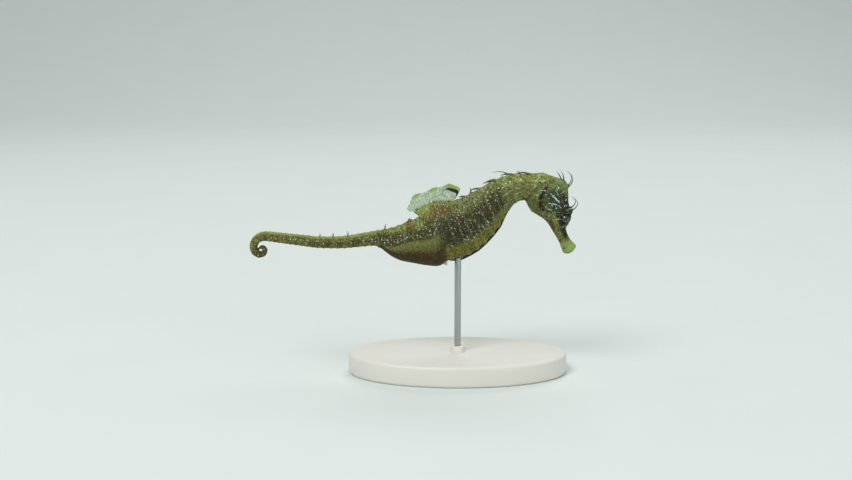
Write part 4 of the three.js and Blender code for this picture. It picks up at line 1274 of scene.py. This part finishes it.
class SEAHORSE_OT_pectoral_fins(bpy.types.Operator):
    """Makes the fan behind each gill cover"""

    bl_idname = "seahorse.pectoral_fins"
    bl_label = "Pectoral fins"

    def execute(self, context):
        fins = context.scene.seahorse_fins
        material = fin_material(fins, "pectoral_fin_skin", fins.pectoral, fins.pectoral, False)
        count = PECTORAL_RAYS * 8 + 1
        turn = np.radians(np.linspace(-PECTORAL_SPREAD / 2, PECTORAL_SPREAD / 2, count))[:, None]
        tilt, flare = math.radians(PECTORAL_TILT), math.radians(PECTORAL_FLARE)
        scallop = 1 - 0.02 * np.abs(np.sin(np.pi * PECTORAL_RAYS * np.linspace(0, 1, count)))[:, None]

        def sway(t, out):
            return 0.16 * out * np.sin(4 * np.pi * t) + 0.35 * out * (1 - out)

        for name, side in (("right", -1), ("left", 1)):
            rearwards = np.array(
                [-math.cos(flare) * math.cos(tilt), side * math.sin(flare), -math.sin(tilt)])
            up = np.array([-math.sin(tilt) * math.cos(flare), 0.0, math.cos(tilt)])
            normal = np.cross(rearwards, up)
            normal = normal / np.linalg.norm(normal) * np.sign(normal[1]) * side
            centre = np.array(PECTORAL_AT) * (1, side, 1)
            way = np.cos(turn) * rearwards + np.sin(turn) * up
            edge = centre + way * PECTORAL_LENGTH * scallop
            feet = centre + way * 0.4 + rearwards * 0.1 - normal * 0.5
            piece = fin_sheet(feet, edge, sway, PECTORAL_RAYS, fins, normal, steps=16)
            finish_piece(piece, "pectoral_fan_" + name, material, "fin", "pectoral_fin_" + name)
        return {"FINISHED"}


class SEAHORSE_OT_anal_fin(bpy.types.Operator):
    """Makes the tiny fin at the vent"""

    bl_idname = "seahorse.anal_fin"
    bl_label = "Anal fin"

    def execute(self, context):
        fins = context.scene.seahorse_fins
        count = ANAL_RAYS * 10 + 1
        low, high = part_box("anal_fin")
        turn = np.radians(np.linspace(-ANAL_SPREAD / 2, ANAL_SPREAD / 2, count) + ANAL_TILT)
        centre = np.array([ANAL_AT[0], 0.0, ANAL_AT[1]])
        way = np.stack([np.cos(turn), np.zeros(count), -np.sin(turn)], axis=1)
        edge = centre + way * ANAL_LENGTH
        edge[:, 0] = np.clip(edge[:, 0], low.x / MM, high.x / MM + 0.3)
        feet = centre - way * 0.1 + (0.0, 0.0, 0.5)
        piece = fin_sheet(feet, edge, lambda t, out: 0 * t * out, ANAL_RAYS, fins, (0, 1, 0), steps=12)
        material = fin_material(fins, "anal_fin_skin", fins.pectoral, fins.pectoral, False)
        finish_piece(piece, "anal_fin_fan", material, "fin", "anal_fin")
        return {"FINISHED"}


# ------------------------------------------------------------------ filaments

# Fleshy threads on both sides: radius at the root and at the tip, and points.
PAIRED_THREADS = (
    # two on the crown, one at its rear, and the long one on the brow
    (0.36, 0.04, (
        (39.8, 1.2, 70.8), (42.4, 1.8, 73.4), (42.8, 2.1, 75.6), (42.2, 2.3, 76.9), (41.2, 2.4, 77.7))),
    (0.28, 0.04, ((39.3, 1.2, 73.8), (38.4, 1.8, 75.8), (37.6, 2.1, 77.2), (37.0, 2.3, 77.9))),
    (0.28, 0.04, ((40.0, 0.7, 72.6), (39.7, 0.9, 75.2), (39.3, 1.0, 76.9), (38.6, 1.0, 78.0))),
    (0.3, 0.03, (
        (42.7, 2.7, 63.4), (44.0, 2.9, 64.5), (44.8, 3.0, 66.0), (44.2, 3.1, 67.4), (42.9, 3.2, 67.9))),
    # nape, neck, shoulder, back and loin
    (0.44, 0.04, ((28.0, 0.8, 76.6), (26.4, 0.9, 77.1), (24.2, 1.0, 77.5), (22.0, 1.1, 77.4))),
    (0.5, 0.04, ((22.0, 0.8, 76.2), (20.2, 0.9, 76.8), (18.0, 1.0, 76.9), (15.8, 1.1, 76.3))),
    (0.55, 0.04, ((15.2, 0.8, 74.2), (13.4, 0.9, 74.7), (11.3, 1.0, 74.1), (9.2, 1.1, 73.2))),
    (0.42, 0.04, ((8.6, 0.8, 71.1), (7.2, 0.9, 71.4), (5.6, 1.0, 71.1), (4.2, 1.1, 70.6))),
    (0.42, 0.04, ((2.6, 0.9, 67.8), (1.8, 1.1, 68.4), (0.8, 1.2, 68.3), (0.0, 1.3, 68.0))),
    # four along the tail
    (0.5, 0.12, ((-28.0, 1.2, 55.2), (-27.7, 1.5, 56.6), (-27.4, 1.6, 57.5))),
    (0.36, 0.04, ((-42.0, 1.0, 52.8), (-41.8, 1.4, 54.2), (-42.2, 1.6, 54.9))),
    (0.34, 0.04, ((-47.6, 1.0, 52.2), (-47.4, 1.4, 53.6), (-47.8, 1.6, 54.3))),
    (0.34, 0.04, ((-52.6, 1.0, 52.1), (-52.4, 1.4, 53.4), (-52.8, 1.6, 54.1))),
)
# And those on one side only: a streamer and a spur on the neck, and a tuft on the back.
SINGLE_THREADS = (
    (0.34, 0.04, (
        (17.9, 1.0, 75.3), (18.5, 1.2, 76.7), (17.2, 1.3, 77.4), (15.2, 1.4, 77.6), (12.7, 1.5, 77.3))),
    (0.36, 0.04, ((23.6, -1.0, 76.5), (22.8, -1.3, 77.7), (21.8, -1.5, 78.4))),
    (0.5, 0.04, ((4.4, 0.6, 68.9), (4.8, 0.8, 70.6), (4.4, 1.0, 71.9))),
)
TAIL_THREAD_DARKNESS = 0.25


def thread_material(colours):
    """Thin fleshy filament: olive at the root, nearly black at the tip."""
    material, add, place = new_material("fleshy_filament")
    tip = read_fields(add, ("tip",))["tip"]
    cloud = add("TexNoise", {"Vector": place, "Scale": 1 / (0.7 * MM), "Detail": 3.0})
    edge = add("Math", (cloud, 0.5, tip), "MULTIPLY_ADD")
    dark = add("MapRange", {"Value": edge, "From Min": 0.3, "From Max": 0.95, "To Max": 0.92})
    bump = add("Bump", {"Strength": 0.4, "Distance": 0.05 * MM, "Height": cloud})
    add_surface(add, {
        "Base Color": lay_colours(add, colours.olive, [(colours.keel, dark)]), "Normal": bump,
        "Roughness": 0.5, "IOR": 1.4,
    })
    return material


def add_thread(root, tip, points):
    """A tapering thread as a mesh, with how dark each point of it is."""
    line = curve_points(points, 18)
    data = bpy.data.curves.new("thread", "CURVE")
    data.dimensions = "3D"
    data.bevel_depth = MM
    data.bevel_resolution = 3
    data.use_fill_caps = True
    spline = data.splines.new("POLY")
    spline.points.add(len(line) - 1)
    for point, at, share in zip(spline.points, line, np.linspace(0, 1, len(line))):
        point.co = (*at * MM, 1)
        point.radius = mix(root, tip, share ** 0.7)
    thread = bpy.data.objects.new("thread", data)
    bpy.context.scene.collection.objects.link(thread)
    only(thread)
    bpy.ops.object.convert(target="MESH")
    thread = bpy.context.object
    places = np.array([vertex.co for vertex in thread.data.vertices]) / MM
    nearest = np.linalg.norm(places[:, None, :] - line[None, :, :], axis=2).argmin(axis=1)
    # the threads of the tail stay green
    darkest = TAIL_THREAD_DARKNESS if points[0][0] < FIN_BASE_REAR else 1.0
    add_field(thread.data, "tip", darkest * nearest / (len(line) - 1))
    return thread


class SEAHORSE_OT_filaments(bpy.types.Operator):
    """Makes the fleshy threads on the head, neck, back and tail"""

    bl_idname = "seahorse.filaments"
    bl_label = "Filaments"

    def execute(self, context):
        threads = []
        for root, tip, points in PAIRED_THREADS:
            for side in (-1, 1):
                threads.append(add_thread(root, tip, [(x, side * y, z) for x, y, z in points]))
        threads += [add_thread(*row) for row in SINGLE_THREADS]
        only(threads[0])
        for thread in threads:
            thread.select_set(True)
        bpy.ops.object.join()
        piece = bpy.context.object
        close_and_smooth(piece)
        finish_piece(piece, "filaments", thread_material(context.scene.seahorse_colours), "skin")
        return {"FINISHED"}


# ------------------------------------------------------------------ stand

PLATE_HEIGHT = 8.0
BOSS_RADIUS = 3.2
BOSS_TAPER = 0.7
BOSS_ROOT = 0.4  # how deep the boss reaches into the plate
SMOOTH_ANGLE = math.radians(40)


def paint_material(settings):
    """Satin paint sprayed on cast resin: even, with a faint orange peel."""
    material, add, place = new_material("satin_paint")
    peel = add("TexNoise", {"Vector": place, "Scale": 1 / (1.1 * MM), "Detail": 2.0})
    drift = add("TexNoise", {"Vector": place, "Scale": 1 / (18 * MM), "Detail": 2.0})
    shade = add("MapRange", {"Value": drift, "From Min": 0.3, "From Max": 0.7, "To Max": 0.25})
    darker = tuple(0.86 * c for c in settings.paint)
    rough = add("MapRange", {"Value": peel, "To Min": 0.34, "To Max": 0.5})
    bump = add("Bump", {"Strength": 0.25, "Distance": 0.04 * MM, "Height": peel})
    add_surface(add, {
        "Base Color": lay_colours(add, settings.paint, [(darker, shade)]), "Roughness": rough,
        "Normal": bump, "IOR": 1.5,
    })
    return material


def steel_material(settings):
    """Fine brushed stainless steel: the brushing runs round the rod."""
    material, add, place = new_material("brushed_steel")
    squeezed = add("Mapping", {"Vector": place, "Scale": (0.05, 0.05, 1.0)})
    lines = add("TexNoise", {"Vector": squeezed, "Scale": 1 / (0.12 * MM), "Detail": 3.0})
    darker = tuple(0.8 * c for c in settings.steel)
    rough = add("MapRange", {"Value": lines, "To Min": 0.22, "To Max": 0.42})
    add_surface(add, {
        "Base Color": lay_colours(add, darker, [(settings.steel, lines)]), "Roughness": rough,
        "Metallic": 1.0,
    })
    return material


class SEAHORSE_OT_stand(bpy.types.Operator):
    """Makes the oval base with its boss, and the rod"""

    bl_idname = "seahorse.stand"
    bl_label = "Stand"

    def execute(self, context):
        settings = context.scene.seahorse_stand
        base = self.make_base(*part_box("stand_base"))
        finish_piece(base, "stand_plinth", paint_material(settings), "base", "stand_base")
        rod = self.make_rod(*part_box("stand_rod"))
        finish_piece(rod, "stand_pin", steel_material(settings), "rod", "stand_rod")
        return {"FINISHED"}

    def make_base(self, low, high):
        """A round slab stretched to the oval, with a boss for the rod on top."""
        top = PLATE_HEIGHT * MM
        bpy.ops.object.select_all(action="DESELECT")
        bpy.ops.mesh.primitive_cylinder_add(
            vertices=128, radius=high.x, depth=top - low.z, location=(0, 0, (top + low.z) / 2),
            end_fill_type="TRIFAN")
        base = bpy.context.object
        base.scale.y = high.y / high.x
        apply_place(base)
        round_edges(base, 1.2, 5)
        foot = top - BOSS_ROOT * MM
        bpy.ops.mesh.primitive_cone_add(
            vertices=64, radius1=BOSS_RADIUS * MM, radius2=BOSS_RADIUS * BOSS_TAPER * MM,
            depth=high.z - foot, location=(0, 0, (high.z + foot) / 2))
        boss = bpy.context.object
        apply_place(boss)
        round_edges(boss, 0.3, 3)
        only(base)
        boss.select_set(True)
        bpy.ops.object.join()
        bpy.ops.object.shade_smooth_by_angle(angle=SMOOTH_ANGLE)
        return base

    def make_rod(self, low, high):
        """A round rod with softened ends."""
        bpy.ops.object.select_all(action="DESELECT")
        bpy.ops.mesh.primitive_cylinder_add(
            vertices=48, radius=(high.x - low.x) / 2, depth=high.z - low.z,
            location=(0, 0, (high.z + low.z) / 2))
        rod = bpy.context.object
        apply_place(rod)
        round_edges(rod, 0.2, 3)
        bpy.ops.object.shade_smooth_by_angle(angle=SMOOTH_ANGLE)
        return rod


# ------------------------------------------------------------------ stage

# The paper in metres: how far back it lies flat, the radius of its sweep up
# the wall, its half breadth, and where it begins and how long it is.
PAPER_FOLD, PAPER_RADIUS = 1.2, 1.4
PAPER_HALF_BREADTH = 5.0
PAPER_START, PAPER_LENGTH = -2.0, 8.0
# Lights: name, place and size in metres, and watts.
LIGHTS = (
    ("key", (-0.8, -1.1, 1.7), 1.0, 27.0),
    ("fill", (1.3, -1.5, 0.7), 1.2, 9.0),
    ("back", (0.3, 1.0, 1.5), 1.0, 10.0),
)
ROOM_COLOUR, ROOM_STRENGTH = 0xE8F0EE, 0.42


def paper_material(settings):
    """Matt background paper, rolled down the wall and along the floor."""
    material, add, place = new_material("background_paper")
    fibre = add("TexNoise", {"Vector": place, "Scale": 1 / (60 * MM), "Detail": 2.0})
    darker = tuple(0.96 * c for c in settings.floor)
    add_surface(add, {"Base Color": lay_colours(add, settings.floor, [(darker, fibre)]), "Roughness": 0.9})
    return material


class SEAHORSE_OT_stage(bpy.types.Operator):
    """Sets the camera, the paper floor and the soft lights"""

    bl_idname = "seahorse.stage"
    bl_label = "Stage"

    def execute(self, context):
        scene = context.scene
        settings = scene.seahorse_stage
        target = Vector(settings.target)
        bpy.ops.object.select_all(action="DESELECT")
        scene.camera = self.make_camera(target, settings)
        paper = self.make_paper()
        paper.data.materials.append(paper_material(settings))
        for name, at, size, watts in LIGHTS:
            bpy.ops.object.light_add(type="AREA", location=at)
            light = bpy.context.object
            light.name = name + "_light"
            light.data.shape = "SQUARE"
            light.data.size = size
            light.data.energy = watts
            light.rotation_euler = (Vector(at) - target).to_track_quat("Z", "Y").to_euler()
        world = bpy.data.worlds.new("soft_room")
        world.use_nodes = True
        sky = world.node_tree.nodes["Background"]
        sky.inputs["Color"].default_value = (*linear(ROOM_COLOUR), 1)
        sky.inputs["Strength"].default_value = ROOM_STRENGTH
        scene.world = world
        scene.view_settings.view_transform = "Standard"
        return {"FINISHED"}

    def make_camera(self, target, settings):
        """A camera that looks at the target from the animal's right, a little from above."""
        back = Vector((0.0, -math.cos(settings.elevation), math.sin(settings.elevation)))
        bpy.ops.object.camera_add(location=target + back * settings.distance)
        camera = bpy.context.object
        camera.rotation_euler = back.to_track_quat("Z", "Y").to_euler()
        camera.data.sensor_width = 36.0
        camera.data.lens = settings.lens
        camera.data.clip_start = 0.01
        return camera

    def make_paper(self):
        """A floor whose far part is swept up into a wall."""
        bpy.ops.mesh.primitive_grid_add(x_subdivisions=2, y_subdivisions=90, size=2.0, location=(0, 0, 0))
        paper = bpy.context.object
        paper.name = "paper"
        sweep = PAPER_RADIUS * math.pi / 2
        for vertex in paper.data.vertices:
            run = PAPER_START + PAPER_LENGTH * (vertex.co.y + 1) / 2
            turn = min(max(run - PAPER_FOLD, 0.0), sweep) / PAPER_RADIUS
            up_wall = max(run - PAPER_FOLD - sweep, 0.0)
            vertex.co.x = vertex.co.x * PAPER_HALF_BREADTH
            vertex.co.y = min(run, PAPER_FOLD) + PAPER_RADIUS * math.sin(turn)
            vertex.co.z = PAPER_RADIUS * (1 - math.cos(turn)) + up_wall
        bpy.ops.object.shade_smooth()
        return paper


# ------------------------------------------------------------------ panel and running


class SEAHORSE_PT_panel(bpy.types.Panel):
    """Lists the pieces and their settings"""

    bl_label = "Seahorse"
    bl_idname = "SEAHORSE_PT_panel"
    bl_space_type = "VIEW_3D"
    bl_region_type = "UI"
    bl_category = "Seahorse"

    def draw(self, context):
        for operator, settings in PIECES:
            box = self.layout.box()
            box.operator(operator.bl_idname)
            if settings:
                group = getattr(context.scene, settings)
                for name in group.__annotations__:
                    box.prop(group, name)


GROUPS = (
    ("seahorse_body", SeahorseBody),
    ("seahorse_colours", SeahorseColours),
    ("seahorse_eye", SeahorseEye),
    ("seahorse_fins", SeahorseFins),
    ("seahorse_stand", SeahorseStand),
    ("seahorse_stage", SeahorseStage),
)
PIECES = (
    (SEAHORSE_OT_stage, "seahorse_stage"),
    (SEAHORSE_OT_skin, "seahorse_body"),
    (SEAHORSE_OT_eyes, "seahorse_eye"),
    (SEAHORSE_OT_dorsal_fin, "seahorse_fins"),
    (SEAHORSE_OT_pectoral_fins, None),
    (SEAHORSE_OT_anal_fin, None),
    (SEAHORSE_OT_filaments, "seahorse_colours"),
    (SEAHORSE_OT_stand, "seahorse_stand"),
)


def register():
    for name, group in GROUPS:
        bpy.utils.register_class(group)
        setattr(bpy.types.Scene, name, bpy.props.PointerProperty(type=group))
    for operator, _ in PIECES:
        bpy.utils.register_class(operator)
    bpy.utils.register_class(SEAHORSE_PT_panel)


def unregister():
    bpy.utils.unregister_class(SEAHORSE_PT_panel)
    for operator, _ in reversed(PIECES):
        bpy.utils.unregister_class(operator)
    for name, group in reversed(GROUPS):
        delattr(bpy.types.Scene, name)
        bpy.utils.unregister_class(group)


def main():
    """Makes every piece in order."""
    register()
    bpy.ops.seahorse.stage()
    bpy.ops.seahorse.skin()
    bpy.ops.seahorse.eyes()
    bpy.ops.seahorse.dorsal_fin()
    bpy.ops.seahorse.pectoral_fins()
    bpy.ops.seahorse.anal_fin()
    bpy.ops.seahorse.filaments()
    bpy.ops.seahorse.stand()


if __name__ == "__main__":
    main()
